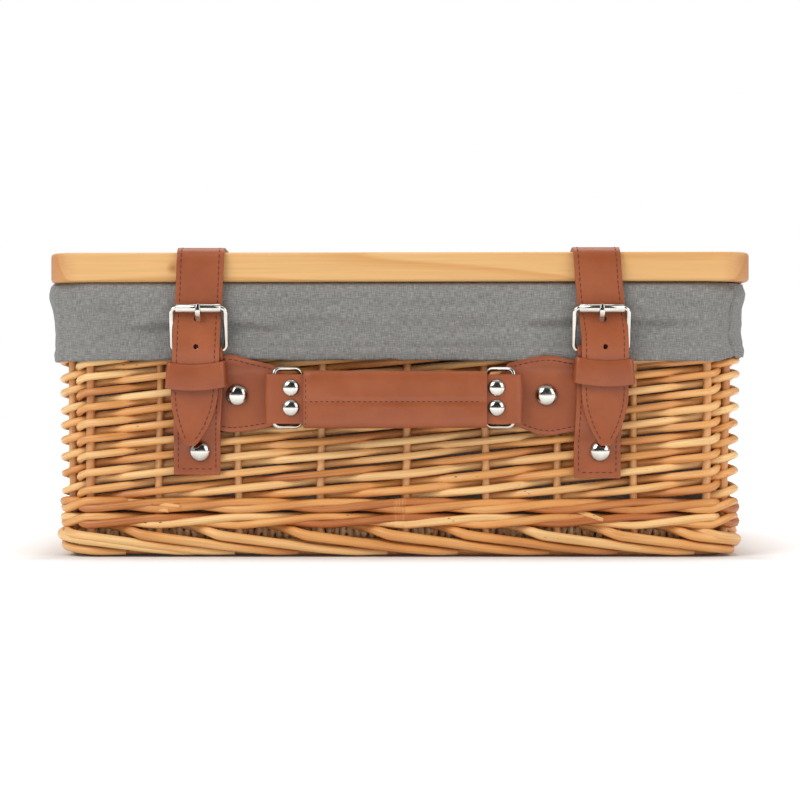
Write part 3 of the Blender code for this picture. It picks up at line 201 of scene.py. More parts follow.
def pine_finish():
    """Planed pine: growth rings about a pith well under the board, fine fibres, one small knot in the front edge."""
    made, tree, shader = new_finish("pine", 0.48, Specular_IOR_Level=0.4)
    place = place_coords(tree)
    wander = add(tree, "ShaderNodeTexNoise", {"Vector": stretched(tree, place, (2.2, 9, 9)), "Scale": 1.0})
    drift = add(tree, "ShaderNodeVectorMath", {1: (0.5, 0.5, 0.5)}, operation="SUBTRACT")
    tree.links.new(wander.outputs["Color"], drift.inputs[0])
    shifted = add(tree, "ShaderNodeVectorMath", {1: (0.0, 0.035, 0.020), 2: place}, operation="MULTIPLY_ADD")
    tree.links.new(drift.outputs["Vector"], shifted.inputs[0])
    flat = stretched(tree, shifted.outputs["Vector"], (0, 1, 1))
    pith = add(tree, "ShaderNodeVectorMath", {0: flat, 1: (0, 0.045, 0.085)}, operation="DISTANCE")
    rings = reckon(tree, "FRACT", reckon(tree, "MULTIPLY", pith.outputs["Value"], 150))
    fibres = cloudy(tree, stretched(tree, place, (18, 900, 900)), 1.0, 4.0, 0.6)
    broad = cloudy(tree, stretched(tree, place, (3, 40, 40)), 1.0, 2.0)
    late = ramp(tree, rings, (0.0, grey(0.05)), (0.62, grey(0.30)), (0.90, grey(0.95)), (1.0, grey(0.05)))
    colour = blend_colours(tree, late, shade(231, 184, 122), shade(216, 158, 92))
    fibre_lines = ramp(tree, fibres, (0.25, grey(0.88)), (0.6, grey(1.0)), (0.85, grey(1.04)))
    colour = blend_colours(tree, 1.0, colour, fibre_lines, "MULTIPLY")
    colour = blend_colours(tree, ramp(tree, broad, (0.3, grey(0.0)), (0.8, grey(0.35))), colour, shade(220, 166, 102))
    parts = add(tree, "ShaderNodeSeparateXYZ", {"Vector": place})
    ends = ramp(tree, reckon(tree, "ABSOLUTE", parts.outputs["X"]), (0.176, grey(0.0)), (0.188, grey(0.62)), (0.1925, grey(0.80)))
    on_top = ramp(tree, parts.outputs["Z"], (0.1640, grey(1.0)), (0.1664, grey(0.12)))
    ends = reckon(tree, "MULTIPLY", ends, on_top)
    colour = blend_colours(tree, ends, colour, shade(186, 118, 74))
    knot = add(tree, "ShaderNodeVectorMath", {0: place, 1: (-0.1236, -0.1460, 0.1582)}, operation="DISTANCE")
    eye = ramp(tree, knot.outputs["Value"], (0.0004, grey(0.8)), (0.0009, grey(0.3)), (0.0024, grey(0.0)))
    colour = blend_colours(tree, eye, colour, shade(176, 108, 52))
    set_input(tree, shader, "Base Color", colour)
    set_input(tree, shader, "Roughness", ramp(tree, fibres, (0.2, grey(0.42)), (0.8, grey(0.56))))
    raise_surface(tree, shader, fibres, 0.00012, 0.5)
    return made


def cloth_finish(name="cloth"):
    """Grey cotton, woven plain: slubby threads both ways, with a few paler and pinker ones."""
    made, tree, shader = new_finish(name, 0.92, Sheen_Weight=0.12, Sheen_Roughness=0.6, Specular_IOR_Level=0.2)
    flat = add(tree, "ShaderNodeUVMap", uv_map="cloth").outputs["UV"]
    across = cloudy(tree, stretched(tree, flat, (260, 2100, 1)), 1.0, 2.0)
    down = cloudy(tree, stretched(tree, flat, (2100, 260, 1)), 1.0, 2.0)
    threads = reckon(tree, "MULTIPLY_ADD", across, 0.5, reckon(tree, "MULTIPLY", down, 0.5))
    colour = ramp(
        tree, threads, (0.34, shade(108, 108, 105)), (0.50, shade(131, 130, 127)), (0.66, shade(158, 157, 153))
    )
    pinkish = ramp(tree, cloudy(tree, stretched(tree, flat, (90, 1500, 1)), 1.0, 1.0), (0.60, grey(0)), (0.74, grey(0.20)))
    colour = blend_colours(tree, pinkish, colour, shade(168, 146, 138))
    patches = ramp(tree, cloudy(tree, flat, 16.0, 2.0), (0.3, grey(0.94)), (0.7, grey(1.04)))
    set_input(tree, shader, "Base Color", blend_colours(tree, 1.0, colour, patches, "MULTIPLY"))
    raise_surface(tree, shader, threads, 0.00035, 0.8)
    return made


def leather_finish(name, dark, light, gloss=0.42):
    """Smooth-finished leather: a close grain of fine wrinkles and slight mottling."""
    made, tree, shader = new_finish(name, gloss, Specular_IOR_Level=0.42, Coat_Weight=0.10, Coat_Roughness=0.3)
    place = place_coords(tree)
    mottle = cloudy(tree, place, 38.0, 4.0, 0.6)
    pores = add(tree, "ShaderNodeTexVoronoi", {"Vector": place, "Scale": 1150.0}, feature="DISTANCE_TO_EDGE")
    fine = cloudy(tree, place, 900.0, 2.0)
    colour = ramp(tree, mottle, (0.28, dark), (0.72, light))
    creases = ramp(tree, pores.outputs["Distance"], (0.0, grey(0.90)), (0.12, grey(1.0)))
    set_input(tree, shader, "Base Color", blend_colours(tree, 1.0, colour, creases, "MULTIPLY"))
    set_input(tree, shader, "Roughness", ramp(tree, mottle, (0.25, grey(gloss - 0.06)), (0.75, grey(gloss + 0.08))))
    height = reckon(tree, "MULTIPLY_ADD", creases, 0.6, reckon(tree, "MULTIPLY", fine, 0.4))
    raise_surface(tree, shader, height, 0.00012, 0.55)
    return made


def thread_finish(name, colour):
    """Twisted sewing thread."""
    made, tree, shader = new_finish(name, 0.7, Sheen_Weight=0.1)
    twist = cloudy(tree, stretched(tree, place_coords(tree), (2600, 2600, 2600)), 1.0, 1.0)
    low = tuple(part * 0.7 for part in colour[:3]) + (1,)
    set_input(tree, shader, "Base Color", ramp(tree, twist, (0.35, low), (0.65, colour)))
    raise_surface(tree, shader, twist, 0.0001, 0.6)
    return made


def nickel_finish():
    """Polished nickel plate, with faint smears and fine scratches."""
    made, tree, shader = new_finish("nickel", 0.14, 1.0)
    place = place_coords(tree)
    smears = cloudy(tree, place, 160.0, 3.0)
    set_input(tree, shader, "Base Color", ramp(tree, smears, (0.3, shade(184, 181, 173)), (0.7, shade(206, 203, 196))))
    set_input(tree, shader, "Roughness", ramp(tree, smears, (0.3, grey(0.09)), (0.75, grey(0.22))))
    scratches = cloudy(tree, stretched(tree, place, (700, 2600, 1500)), 1.0, 2.0)
    raise_surface(tree, shader, scratches, 0.00002, 0.3)
    return made


WILLOW = willow_finish("willow", shade(186, 108, 52), shade(230, 162, 90), shade(250, 205, 140))
STAKE_WILLOW = willow_finish("stake_willow", shade(190, 124, 70), shade(226, 164, 100), shade(240, 192, 132))
OLD_WILLOW = willow_finish("base_willow", shade(160, 116, 74), shade(214, 172, 122), shade(246, 214, 168))
PINE = pine_finish()
CLOTH = cloth_finish()
LEATHER = leather_finish("leather", shade(146, 72, 37), shade(166, 88, 47), 0.38)
GRIP_LEATHER = leather_finish("grip_leather", shade(146, 72, 37), shade(163, 87, 47), 0.36)
THREAD = thread_finish("brown_thread", shade(104, 48, 28))
# grey thread, made darker as painted shade for the corner seam's fold line
GREY_THREAD_AND_SEAM_SHADE = thread_finish("grey_thread_and_seam_shade", shade(70, 70, 69))
NICKEL = nickel_finish()


# Making pieces


def finished(name, shape, finish, body, replaced=(), smooth=40):
    """An object from a bmesh, riding on a body, with its material slot and the solids that it stands for."""
    mesh = bpy.data.meshes.new(name)
    shape.to_mesh(mesh)
    shape.free()
    return dress(name, mesh, finish, body, replaced, smooth)


def dress(name, mesh, finish, body, replaced=(), smooth=40):
    """An object from a mesh, given its finish, body and slot. A body of None is for a piece that is blended."""
    mesh.materials.clear()
    mesh.materials.append(finish)
    mesh.shade_smooth()
    if smooth:
        mesh.set_sharp_from_angle(angle=math.radians(smooth))
    made = bpy.data.objects.new(name, mesh)
    bpy.context.scene.collection.objects.link(made)
    if body:
        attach(made, body)
    if replaced:
        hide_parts(*replaced)
    return made


def as_mesh(made):
    """The object's evaluated mesh, once its curve or modifiers have been applied, and the object removed."""
    bpy.context.view_layer.update()
    graph = bpy.context.evaluated_depsgraph_get()
    mesh = bpy.data.meshes.new_from_object(made.evaluated_get(graph))
    bpy.data.objects.remove(made)
    return mesh


def tube(name, runs, radius, sides_level=2, closed=False, thick=None):
    """A mesh of round rods, one for each run of points. thick gives each run's radii as shares of radius."""
    line = bpy.data.curves.new(name, "CURVE")
    line.dimensions = "3D"
    line.bevel_depth = radius
    line.bevel_resolution = sides_level
    line.use_fill_caps = not closed
    for number, run in enumerate(runs):
        spline = line.splines.new("POLY")
        spline.points.add(len(run) - 1)
        flat = np.ones((len(run), 4))
        flat[:, :3] = run
        spline.points.foreach_set("co", flat.ravel())
        if thick is not None:
            spline.points.foreach_set("radius", np.asarray(thick[number], dtype=float))
        spline.use_cyclic_u = closed
        spline.use_smooth = True
    made = bpy.data.objects.new(name, line)
    bpy.context.scene.collection.objects.link(made)
    return as_mesh(made)


def smooth_run(points, steps=8):
    """Points of a Catmull-Rom curve through the given ones."""
    points = np.asarray(points, dtype=float)
    padded = np.vstack([2 * points[0] - points[1], points, 2 * points[-1] - points[-2]])
    share = np.linspace(0, 1, steps, endpoint=False)[:, None]
    runs = []
    for a, b, c, d in zip(padded, padded[1:], padded[2:], padded[3:]):
        runs.append(
            0.5 * (2 * b + (c - a) * share + (2 * a - 5 * b + 4 * c - d) * share**2 + (3 * b - a - 3 * c + d) * share**3)
        )
    return np.vstack([*runs, points[-1:]])


class Course:
    """A smooth course for a flat strip: x is across it, y along it and z out of it."""

    def __init__(self, points, across, steps=10):
        self.points = smooth_run(points, steps)
        steps_long = np.linalg.norm(np.diff(self.points, axis=0), axis=1)
        self.far = np.concatenate([[0], np.cumsum(steps_long)])
        self.length = float(self.far[-1])
        ways = np.gradient(self.points, self.far, axis=0)
        self.ways = ways / np.linalg.norm(ways, axis=1)[:, None]
        self.across = np.asarray(across, dtype=float)

    def place(self, x, along, out):
        """Where a point of the flat strip comes to lie."""
        spot = np.array([np.interp(along, self.far, self.points[:, k]) for k in range(3)])
        way = np.array([np.interp(along, self.far, self.ways[:, k]) for k in range(3)])
        spot += way * (min(along, 0) + max(along - self.length, 0))
        across = self.across - way * np.dot(self.across, way)
        across /= np.linalg.norm(across)
        return Vector(spot + across * x + np.cross(way, across) / np.linalg.norm(way) * out)

    def bend(self, shape):
        """Lays a flat shape along the course."""
        for vert in shape.verts:
            vert.co = self.place(*vert.co)


def soften(shape, width, segments=2, least=50):
    """Bevels every edge that is sharper than least degrees."""
    sharp = [e for e in shape.edges if len(e.link_faces) == 2 and e.calc_face_angle() > math.radians(least)]
    bmesh.ops.bevel(
        shape, geom=sharp, offset=width, segments=segments, profile=0.5, affect="EDGES", material=-1, clamp_overlap=True
    )


def flat_strip(length, half, thick, columns, rows, edge=0.0006):
    """A flat strip of leather from a grid, lying with its top at half its thickness.

    half is its half width at a place along it, and columns are the shares of it where lines run lengthwise."""
    shape = bmesh.new()
    bmesh.ops.create_grid(shape, x_segments=len(columns) - 1, y_segments=rows, size=0.5)
    count = len(columns) - 1
    for vert in shape.verts:
        share = columns[min(count, max(0, round((vert.co.x + 0.5) * count)))]
        along = (vert.co.y + 0.5) * length
        vert.co = (share * half(along), along, -thick / 2)
    bmesh.ops.recalc_face_normals(shape, faces=shape.faces)
    lift_sheet(shape, thick)
    soften(shape, edge)
    return shape


def lift_sheet(shape, thick):
    """Gives a flat sheet its thickness, upward."""
    made = bmesh.ops.extrude_face_region(shape, geom=shape.faces[:])
    raised = [item for item in made["geom"] if isinstance(item, bmesh.types.BMVert)]
    bmesh.ops.translate(shape, vec=(0, 0, thick), verts=raised)
    bmesh.ops.recalc_face_normals(shape, faces=shape.faces)


def add_stitch(shape, spot, turn, length, radius=0.00034, flat=0.6):
    """One stitch of thread, on a flat strip."""
    place = Matrix.Translation(spot) @ Matrix.Rotation(turn, 4, "Z")
    scale = Matrix.Diagonal((radius, length / 2, radius * flat, 1))
    bmesh.ops.create_uvsphere(shape, u_segments=6, v_segments=4, radius=1, matrix=place @ scale @ Matrix.Rotation(math.pi / 2, 4, "X"))


def sew(shape, line, height, pitch=0.0030, length=0.0024, radius=0.00034):
    """Stitches along a line of (x, along) points, at a height on the strip."""
    line = np.asarray(line, dtype=float)
    steps = np.linalg.norm(np.diff(line, axis=0), axis=1)
    far = np.concatenate([[0], np.cumsum(steps)])
    count = max(1, int(far[-1] / pitch))
    for number in range(count):
        middle = (number + 0.5) * far[-1] / count
        ends = [np.array([np.interp(at, far, line[:, k]) for k in range(2)]) for at in (middle - length / 2, middle + length / 2)]
        way = ends[1] - ends[0]
        spot = (*((ends[0] + ends[1]) / 2), height)
        add_stitch(shape, spot, math.atan2(-way[0], way[1]), float(np.linalg.norm(way)), radius)


# Nickel


def dome(name, seat, out, radius, height, body):
    """A rivet's domed head, turned about its axis, with a short shank behind it."""
    shape = bmesh.new()
    profile = [(0, 0, height)]
    for step in range(1, 8):
        turn = math.radians(90 * step / 7)
        profile.append((radius * math.sin(turn) ** 0.9, 0, height * math.cos(turn)))
    profile += [(radius * 0.985, 0, -0.0002), (radius * 0.4, 0, -0.0003), (radius * 0.3, 0, -0.004), (0, 0, -0.004)]
    verts = [shape.verts.new(point) for point in profile]
    edges = [shape.edges.new(pair) for pair in zip(verts, verts[1:])]
    bmesh.ops.spin(shape, geom=verts + edges, cent=(0, 0, 0), axis=(0, 0, 1), angle=math.tau, steps=32, use_merge=True)
    bmesh.ops.remove_doubles(shape, verts=shape.verts, dist=1e-6)
    bmesh.ops.recalc_face_normals(shape, faces=shape.faces)
    turn = Vector(out).to_track_quat("Z", "Y").to_matrix().to_4x4()
    bmesh.ops.transform(shape, matrix=Matrix.Translation(seat) @ turn, verts=shape.verts)
    return finished(name, shape, NICKEL, body, smooth=50)


def make_rivets():
    """A dome over each rivet, on the seat that its solid has."""
    spots = []
    for side in SIDES:
        spots.append((f"{side}_buckle_strap_rivet", "basket", (0, -1, 0), 0.0058, 0.0036))
        spots.append((f"{side}_anchor_rivet", "basket", (0, -1, 0), 0.0061, 0.0036))
        for place in ("upper", "lower"):
            spots.append((f"{side}_hinge_{place}_rivet", "basket", (0, 1, 0), 0.0053, 0.0036))
            spots.append((f"{side}_handle_{place}_rivet", "handle", (0, -1, 0), 0.0047, 0.0026))
    for node, body, out, radius, height in spots:
        low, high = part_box(node)
        middle = (low + high) / 2
        face = low.y + height if out[1] < 0 else high.y - height
        made = dome(node + "_dome", (middle.x, face, middle.z), out, radius, height, body)
        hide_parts(node)


def wire_corner_run(half_x, half_y, corner, steps=6):
    """A rounded rectangle's points."""
    points = []
    for quarter, (sx, sy) in enumerate(((1, -1), (1, 1), (-1, 1), (-1, -1))):
        for step in range(steps + 1):
            turn = math.radians(90 * (quarter - 1 + step / steps))
            points.append(
                (sx * (half_x - corner) + corner * math.cos(turn), sy * (half_y - corner) + corner * math.sin(turn), 0)
            )
    return points


def wire_frame(name, half_x, half_y, corner, place, body, replaced):
    """A closed wire loop of nickel."""
    run = [place @ Vector(point) for point in wire_corner_run(half_x, half_y, corner)]
    return dress(name, tube(name, [run], 0.0013, 4, closed=True), NICKEL, body, replaced, 60)


def make_buckles():
    """Each buckle: a wire frame, a roller on its upper bar and a prong on its lower one."""
    rise = ROLLER - HEEL
    tilt = math.atan2(rise.z, rise.y)
    for side, sign in SIDES.items():
        x = sign * STRAP_X
        middle = (HEEL + ROLLER) / 2
        place = Matrix.Translation((x, middle.y, middle.z)) @ Matrix.Rotation(tilt, 4, "X")
        name = side + "_buckle"
        wire_frame(name + "_wire", 0.01475, rise.length / 2, 0.0026, place, name, [name + "_frame"])
        make_roller(name, x)
        make_prong(name, x)


def make_roller(name, x):
    """A short tube of rolled sheet, its ends eased."""
    shape = bmesh.new()
    profile = [(0.00165, -0.0122), (0.0022, -0.0123), (0.0026, -0.0119), (0.0026, 0.0119), (0.0022, 0.0123), (0.00165, 0.0122)]
    verts = [shape.verts.new((0, radius, along)) for radius, along in profile]
    edges = [shape.edges.new(pair) for pair in zip(verts, verts[1:] + verts[:1])]
    bmesh.ops.spin(shape, geom=verts + edges, cent=(0, 0, 0), axis=(0, 0, 1), angle=math.tau, steps=28, use_merge=True)
    bmesh.ops.remove_doubles(shape, verts=shape.verts, dist=1e-7)
    bmesh.ops.recalc_face_normals(shape, faces=shape.faces)
    turn = Matrix.Translation((x, ROLLER.y, ROLLER.z)) @ Matrix.Rotation(math.pi / 2, 4, "Y")
    bmesh.ops.transform(shape, matrix=turn, verts=shape.verts)
    finished(name + "_roller_tube", shape, NICKEL, name.replace("buckle", "roller"), [name + "_roller"], 50)


def make_prong(name, x):
    """The prong: an eye on the lower bar, up behind the strap, out through its hole and over the roller."""
    eye = 0.0026
    around = []
    for step in range(9):
        turn = math.radians(-60 + 300 * step / 8)
        around.append((x, HEEL.y + eye * math.cos(turn) * 0.98, HEEL.z - eye * math.sin(turn) * 0.98))
    course = Course(
        [
            *around,
            (x, HEEL.y - 0.0013, 0.1192),
            (x, -0.1478, 0.1268),
            (x, -0.1517, 0.1293),
            (x, -0.1563, 0.1332),
            (x, -0.1566, 0.1362),
            (x, -0.1560, 0.1382),
        ],
        (1, 0, 0),
        4,
    )

    def half(along):
        return 0.0015 - 0.0004 * max(0, along - course.length + 0.006) / 0.006

    shape = flat_strip(course.length, half, 0.0016, (-1, -0.4, 0.4, 1), 60, 0.0005)
    course.bend(shape)
    finished(name + "_tongue", shape, NICKEL, name.replace("buckle", "prong"), [name + "_prong"], 60)


def make_rings():
    """The two wire rings that the handle hangs on."""
    for side, sign in SIDES.items():
        pivot = Vector((HANDLE_X + sign * 0.051, FRONT - 0.0042, HANDLE_Z))
        lean = math.asin((0.0095 - 0.0042) / 0.015)
        middle = pivot + Vector((sign * math.cos(lean), -math.sin(lean), 0)) * 0.0075
        turn = Matrix.Rotation(-sign * lean, 4, "Z") @ Matrix.Rotation(math.pi / 2, 4, "X")
        place = Matrix.Translation(middle) @ turn
        name = side + "_handle_ring"
        wire_frame(name + "_wire", 0.0075, 0.0157, 0.0031, place, side + "_ring", [name])


# Lid


def lid_rise(x):
    """The board lies a trace higher at its right end."""
    return 0.0003 + 0.0018 * x


def make_lid():
    """The board, its four corners rounded and every edge eased."""
    low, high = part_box("lid_board")
    shape = bmesh.new()
    middle, size = (low + high) / 2, high - low + Vector((0.0012, 0, 0))
    bmesh.ops.create_cube(shape, size=1, matrix=Matrix.Translation(middle) @ Matrix.Diagonal((*size, 1)))
    upright = [e for e in shape.edges if abs(e.verts[0].co.z - e.verts[1].co.z) > 0.001]
    bmesh.ops.bevel(shape, geom=upright, offset=0.0155, segments=10, profile=0.5, affect="EDGES", material=-1)
    soften(shape, 0.0018, 4, 60)
    for vert in shape.verts:
        vert.co.z += lid_rise(vert.co.x)
    finished("lid_plank", shape, PINE, "lid", ["lid_board"], 30)
    for side in SIDES:
        for node, finish in (
            ("batten", PINE),
            ("batten_front_screw", NICKEL),
            ("batten_rear_screw", NICKEL),
            ("strap_front_screw", NICKEL),
            ("strap_rear_screw", NICKEL),
        ):
            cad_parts[f"{side}_{node}"].material_slots[0].material = finish


# Willow

STAKE_LINE_IN = 0.0058  # of the stakes' middles inside the wall's outer face
STAKE_R = 0.0022
ROD_R = 0.00215
FRONT_STAKES = (0.0033, 0.0463, 0.0866, 0.1282, 0.1690, 0.1822)
FRONT_STAKES_LEFT = (-0.0430, -0.0893, -0.1325, -0.1708, -0.1852)
CORNER_STAKES = (4, 5, 25, 26)  # by number, the first in the middle of the front


class Round:
    """A course round the basket at a distance in from its wall, from the middle of the front towards the right."""

    def __init__(self, inset):
        half_x, half_y, corner = WALL_X - inset, WALL_Y - inset, WALL_CORNER - inset
        points, ways = [(0.0, -half_y)], [(0.0, -1.0)]
        for quarter, (sx, sy) in enumerate(((1, -1), (1, 1), (-1, 1), (-1, -1))):
            for step in range(13):
                turn = math.radians(90 * (quarter - 1 + step / 12))
                way = (math.cos(turn), math.sin(turn))
                points.append((sx * (half_x - corner) + corner * way[0], sy * (half_y - corner) + corner * way[1]))
                ways.append(way)
        points.append(points[0])
        ways.append(ways[0])
        self.points, self.ways = np.array(points), np.array(ways)
        self.far = np.concatenate([[0], np.cumsum(np.linalg.norm(np.diff(self.points, axis=0), axis=1))])
        self.length = float(self.far[-1])

    def place(self, along, out, z):
        """Points at distances along the course, out from it and up."""
        along = np.mod(np.asarray(along, dtype=float), self.length)
        out = out - WALL_TAPER * (RIM_Z - np.asarray(z)) / RIM_Z
        spot = [np.interp(along, self.far, self.points[:, k]) for k in range(2)]
        way = np.array([np.interp(along, self.far, self.ways[:, k]) for k in range(2)])
        way /= np.linalg.norm(way, axis=0)
        return np.stack([spot[0] + way[0] * out, MIDDLE_Y + spot[1] + way[1] * out, z + 0 * along], axis=-1)


def stake_marks(course):
    """Where each stake stands along the course: as counted on the front, and evenly spread on the other sides."""
    last, first = FRONT_STAKES[-1], course.length + FRONT_STAKES_LEFT[-1]
    between = 19
    rest = [last + (first - last) * step / (between + 1) for step in range(1, between + 1)]
    return [*FRONT_STAKES, *rest, *(course.length + mark for mark in reversed(FRONT_STAKES_LEFT))]


def rods(name, runs, finish, replaced, thick, tones, radius=ROD_R, sides_level=2, closed=False):
    """Willow rods along runs of points, each with its own tone, and marked for the grain to follow."""
    mesh = tube(name, runs, radius, sides_level, closed, thick)
    points = sum(len(run) for run in runs)
    sides = len(mesh.vertices) // (points if closed else points + 2 * len(runs))
    turns = np.arange(sides) / sides * math.tau
    rows = []
    for number, run in enumerate(runs):
        far = np.concatenate([[0], np.cumsum(np.linalg.norm(np.diff(np.asarray(run), axis=0), axis=1))])
        row = np.empty((len(run), sides, 4))
        row[:, :, 0] = np.cos(turns) * radius + number * 0.013
        row[:, :, 1] = np.sin(turns) * radius
        row[:, :, 2] = far[:, None] + number * 0.37
        row[:, :, 3] = tones[number]
        rows.append(row)
    # the ends' caps come first, the last rod's before the others'
    caps = [] if closed else [row[end] for row in reversed(rows) for end in (-1, 0)]
    grain = np.vstack([*caps, *(row.reshape(-1, 4) for row in rows)])
    tone = grain[:, 3].copy()
    grain = grain[:, :3].copy()
    mesh.attributes.new("rod", "FLOAT_VECTOR", "POINT").data.foreach_set("vector", grain.ravel())
    mesh.attributes.new("tone", "FLOAT", "POINT").data.foreach_set("value", tone)
    return dress(name, mesh, finish, "basket", replaced, 55)


def rod_tone(dice):
    """Most rods are honey coloured, a few are redder."""
    return 0.12 if dice.random() < 0.09 else min(0.95, max(0.25, dice.gauss(0.58, 0.15)))


def swing(knots_along, knots_out, knots_z, steps=6):
    """Eases a rod from stake to stake: its place along, its distance out and its height."""
    share = np.linspace(0, 1, steps, endpoint=False)
    ease = 0.5 - 0.5 * np.cos(math.pi * share)
    along, out, z = [], [], []
    for k in range(len(knots_along) - 1):
        along.append(knots_along[k] + (knots_along[k + 1] - knots_along[k]) * share)
        out.append(knots_out[k] + (knots_out[k + 1] - knots_out[k]) * ease)
        z.append(knots_z[k] + (knots_z[k + 1] - knots_z[k]) * share)
    along.append([knots_along[-1]])
    out.append([knots_out[-1]])
    z.append([knots_z[-1]])
    z = np.concatenate(z)
    z[1:-1] = (z[:-2] + 2 * z[1:-1] + z[2:]) / 4
    return np.concatenate(along), np.concatenate(out), z


def layer_z(layer):
    """Height of the side weave's layers, which lie closer towards the top."""
    return 0.0370 + 0.00462 * layer - 0.000012 * layer**2


def make_side_weave(course, marks):
    """The side: each rod goes in front of one stake and behind the next, and climbs one layer at each."""
    dice = random.Random(4)
    count = len(marks)
    runs, thick, tones = [], [], []
    for first in range(count):
        layers = list(range(-1, 24))
        size = dice.gauss(1.0, 0.035)
        drift = 0.0
        along, out, z = [], [], []
        for layer in layers:
            stake = first + layer
            along.append(marks[stake % count] + course.length * (stake // count))
            reach = STAKE_R + ROD_R * size * 0.9
            out.append(reach if layer % 2 == 0 else -reach)
            drift = drift * 0.6 + dice.gauss(0, 0.00028)
            wave = noise.noise(Vector((along[-1] * 6, layer * 0.35, 2.0))) * 0.0011
            z.append(layer_z(layer) + drift + wave)
        run = course.place(*swing(along, out, z))
        runs.append(run)
        sizes = size * np.linspace(1.06, 0.95, len(run))
        sizes += 0.04 * np.sin(np.linspace(0, 23, len(run)) + first * 1.7)
        thick.append(sizes)
        tones.append(rod_tone(dice))
    rods("side_rods", runs, WILLOW, ["side_weave"], thick, tones)


def make_wale(course, marks):
    """The band above the foot: three rods to a round, each in front of two stakes and behind the third."""
    dice = random.Random(11)
    count = len(marks)
    runs, thick, tones = [], [], []
    for turn in range(2):
        for start in range(3):
            along, out, z = [], [], []
            for stake in range(count + 1):
                phase = (stake - start) % 3
                reach = STAKE_R + ROD_R * 0.95
                along.append(marks[stake % count] + course.length * (stake // count))
                out.append((-reach, reach * 1.02, reach)[phase])
                height = 0.0201 + turn * 0.0081 + (0.0016, -0.0023, 0.0022)[phase]
                z.append(height + dice.gauss(0, 0.00030) + noise.noise(Vector((along[-1] * 5, turn * 3.1, 7.0))) * 0.0012)
            z[-1], out[-1] = z[0], out[0]
            run = course.place(*swing(along, out, z, 7))[:-1]
            runs.append(run)
            thick.append(dice.gauss(1.06, 0.03) + 0.05 * np.sin(np.linspace(0, 12 * math.pi, len(run)) + start))
            tones.append(rod_tone(dice))
    rods("wale_rods", runs, WILLOW, ["lower_wale"], thick, tones, closed=True)


CUT_ENDS = (  # rods' butts left standing out of the band above the foot: from (x, z) to (x, z)
    ((-0.1640, 0.0322), (-0.1205, 0.0280)),
    ((-0.1560, 0.0292), (-0.1268, 0.0256)),
    ((0.0850, 0.0286), (0.1112, 0.0206)),
)


def make_cut_ends(course):
    """The few butts that show on the front."""
    runs, thick = [], []
    for (x0, z0), (x1, z1) in CUT_ENDS:
        share = np.linspace(0, 1, 14)
        runs.append(course.place(x0 + (x1 - x0) * share, -0.0034 + 0.0100 * share, z0 + (z1 - z0) * share))
        thick.append(np.interp(share, (0, 0.8, 1), (0.9, 0.8, 0.45)))
    rods("cut_ends", runs, WILLOW, [], thick, [0.56] * len(runs))


def make_stakes(course, marks):
    """The stakes, from the foot to the rim, none quite straight."""
    dice = random.Random(21)
    runs, thick, tones = [], [], []
    for number, mark in enumerate(marks):
        z = np.linspace(0.0085, 0.1400, 24)
        lean = dice.gauss(0, 0.0008)
        wander = np.array([noise.noise(Vector((mark * 40, height * 22, 0.5))) for height in z]) * 0.0011
        runs.append(course.place(mark + lean * (z - 0.06) / 0.06 + wander, 0.0, z))
        stout = 1.14 if number in CORNER_STAKES else 1.0
        thick.append(np.linspace(1.04, 0.92, len(z)) * dice.gauss(1, 0.03) * stout)
        tones.append(dice.uniform(0.35, 0.7))
    nodes = ["stakes_front", "stakes_right", "stakes_back", "stakes_left"]
    rods("stake_rods", runs, STAKE_WILLOW, nodes, thick, tones, STAKE_R)


def make_rim(course, marks):
    """The border rolled over the top: each stake's end is laid down over the next two."""
    dice = random.Random(31)
    count = len(marks)
    runs, thick, tones = [], [], []
    for number, mark in enumerate(marks):
        ahead = [marks[(number + k) % count] + course.length * ((number + k) // count) for k in (1, 2)]
        along = [mark, mark + 0.004, ahead[0] - 0.012, ahead[0], ahead[1] - 0.010, ahead[1] + 0.006]
        out = [0.0, 0.001, 0.0034, 0.0038, 0.0010, -0.0052]
        z = [0.1395, 0.1432, 0.1458, 0.1452, 0.1440, 0.1416]
        run = smooth_run(np.stack([along, out, z], axis=-1), 5)
        runs.append(course.place(run[:, 0], run[:, 1], run[:, 2]))
        thick.append(np.linspace(1.0, 0.85, len(run)))
        tones.append(rod_tone(dice))
    rods("rim_rods", runs, WILLOW, [], thick, tones, 0.0024)


def make_foot(course, marks):
    """The foot border: each rod comes out beside a stake, bends sharply and runs down to the right behind the next two."""
    dice = random.Random(41)
    runs, thick, tones = [], [], []
    for mark in marks:
        knee = mark - 0.0095 + dice.gauss(0, 0.0008)
        reach = 0.087 + dice.gauss(0, 0.003)
        along = [-0.020, -0.012, -0.005, 0.0, 0.006, 0.030, 0.054, 0.074, reach]
        out = [-0.0060, -0.0020, 0.0036, 0.0054, 0.0055, 0.0046, 0.0030, 0.0014, -0.0014]
        z = [0.0172, 0.0158, 0.0138, 0.0122, 0.0112, 0.0080, 0.0048, 0.0031, 0.0026]
        run = smooth_run(np.stack([along, out, z], axis=-1), 5)
        lift = dice.gauss(0, 0.0004) * np.sin(np.linspace(0, math.pi, len(run)))
        runs.append(course.place(knee + run[:, 0], run[:, 1], run[:, 2] + lift))
        thick.append(np.interp(run[:, 0], (-0.020, 0.0, 0.02, 0.072, reach), (0.8, 1.08, 1.02, 0.9, 0.6)) * dice.gauss(1, 0.03))
        tones.append(rod_tone(dice))
    rods("foot_rods", runs, WILLOW, ["foot_border"], thick, tones, 0.0026)
    along = np.linspace(0, course.length, 320, endpoint=False)
    runs = [course.place(along, -0.0054, z + 0.0004 * np.sin(along * 21 + z * 900)) for z in (0.0032, 0.0074)]
    rods("foot_inner_rods", runs, WILLOW, [], [np.ones(320)] * 2, [0.45, 0.6], 0.0024, closed=True)


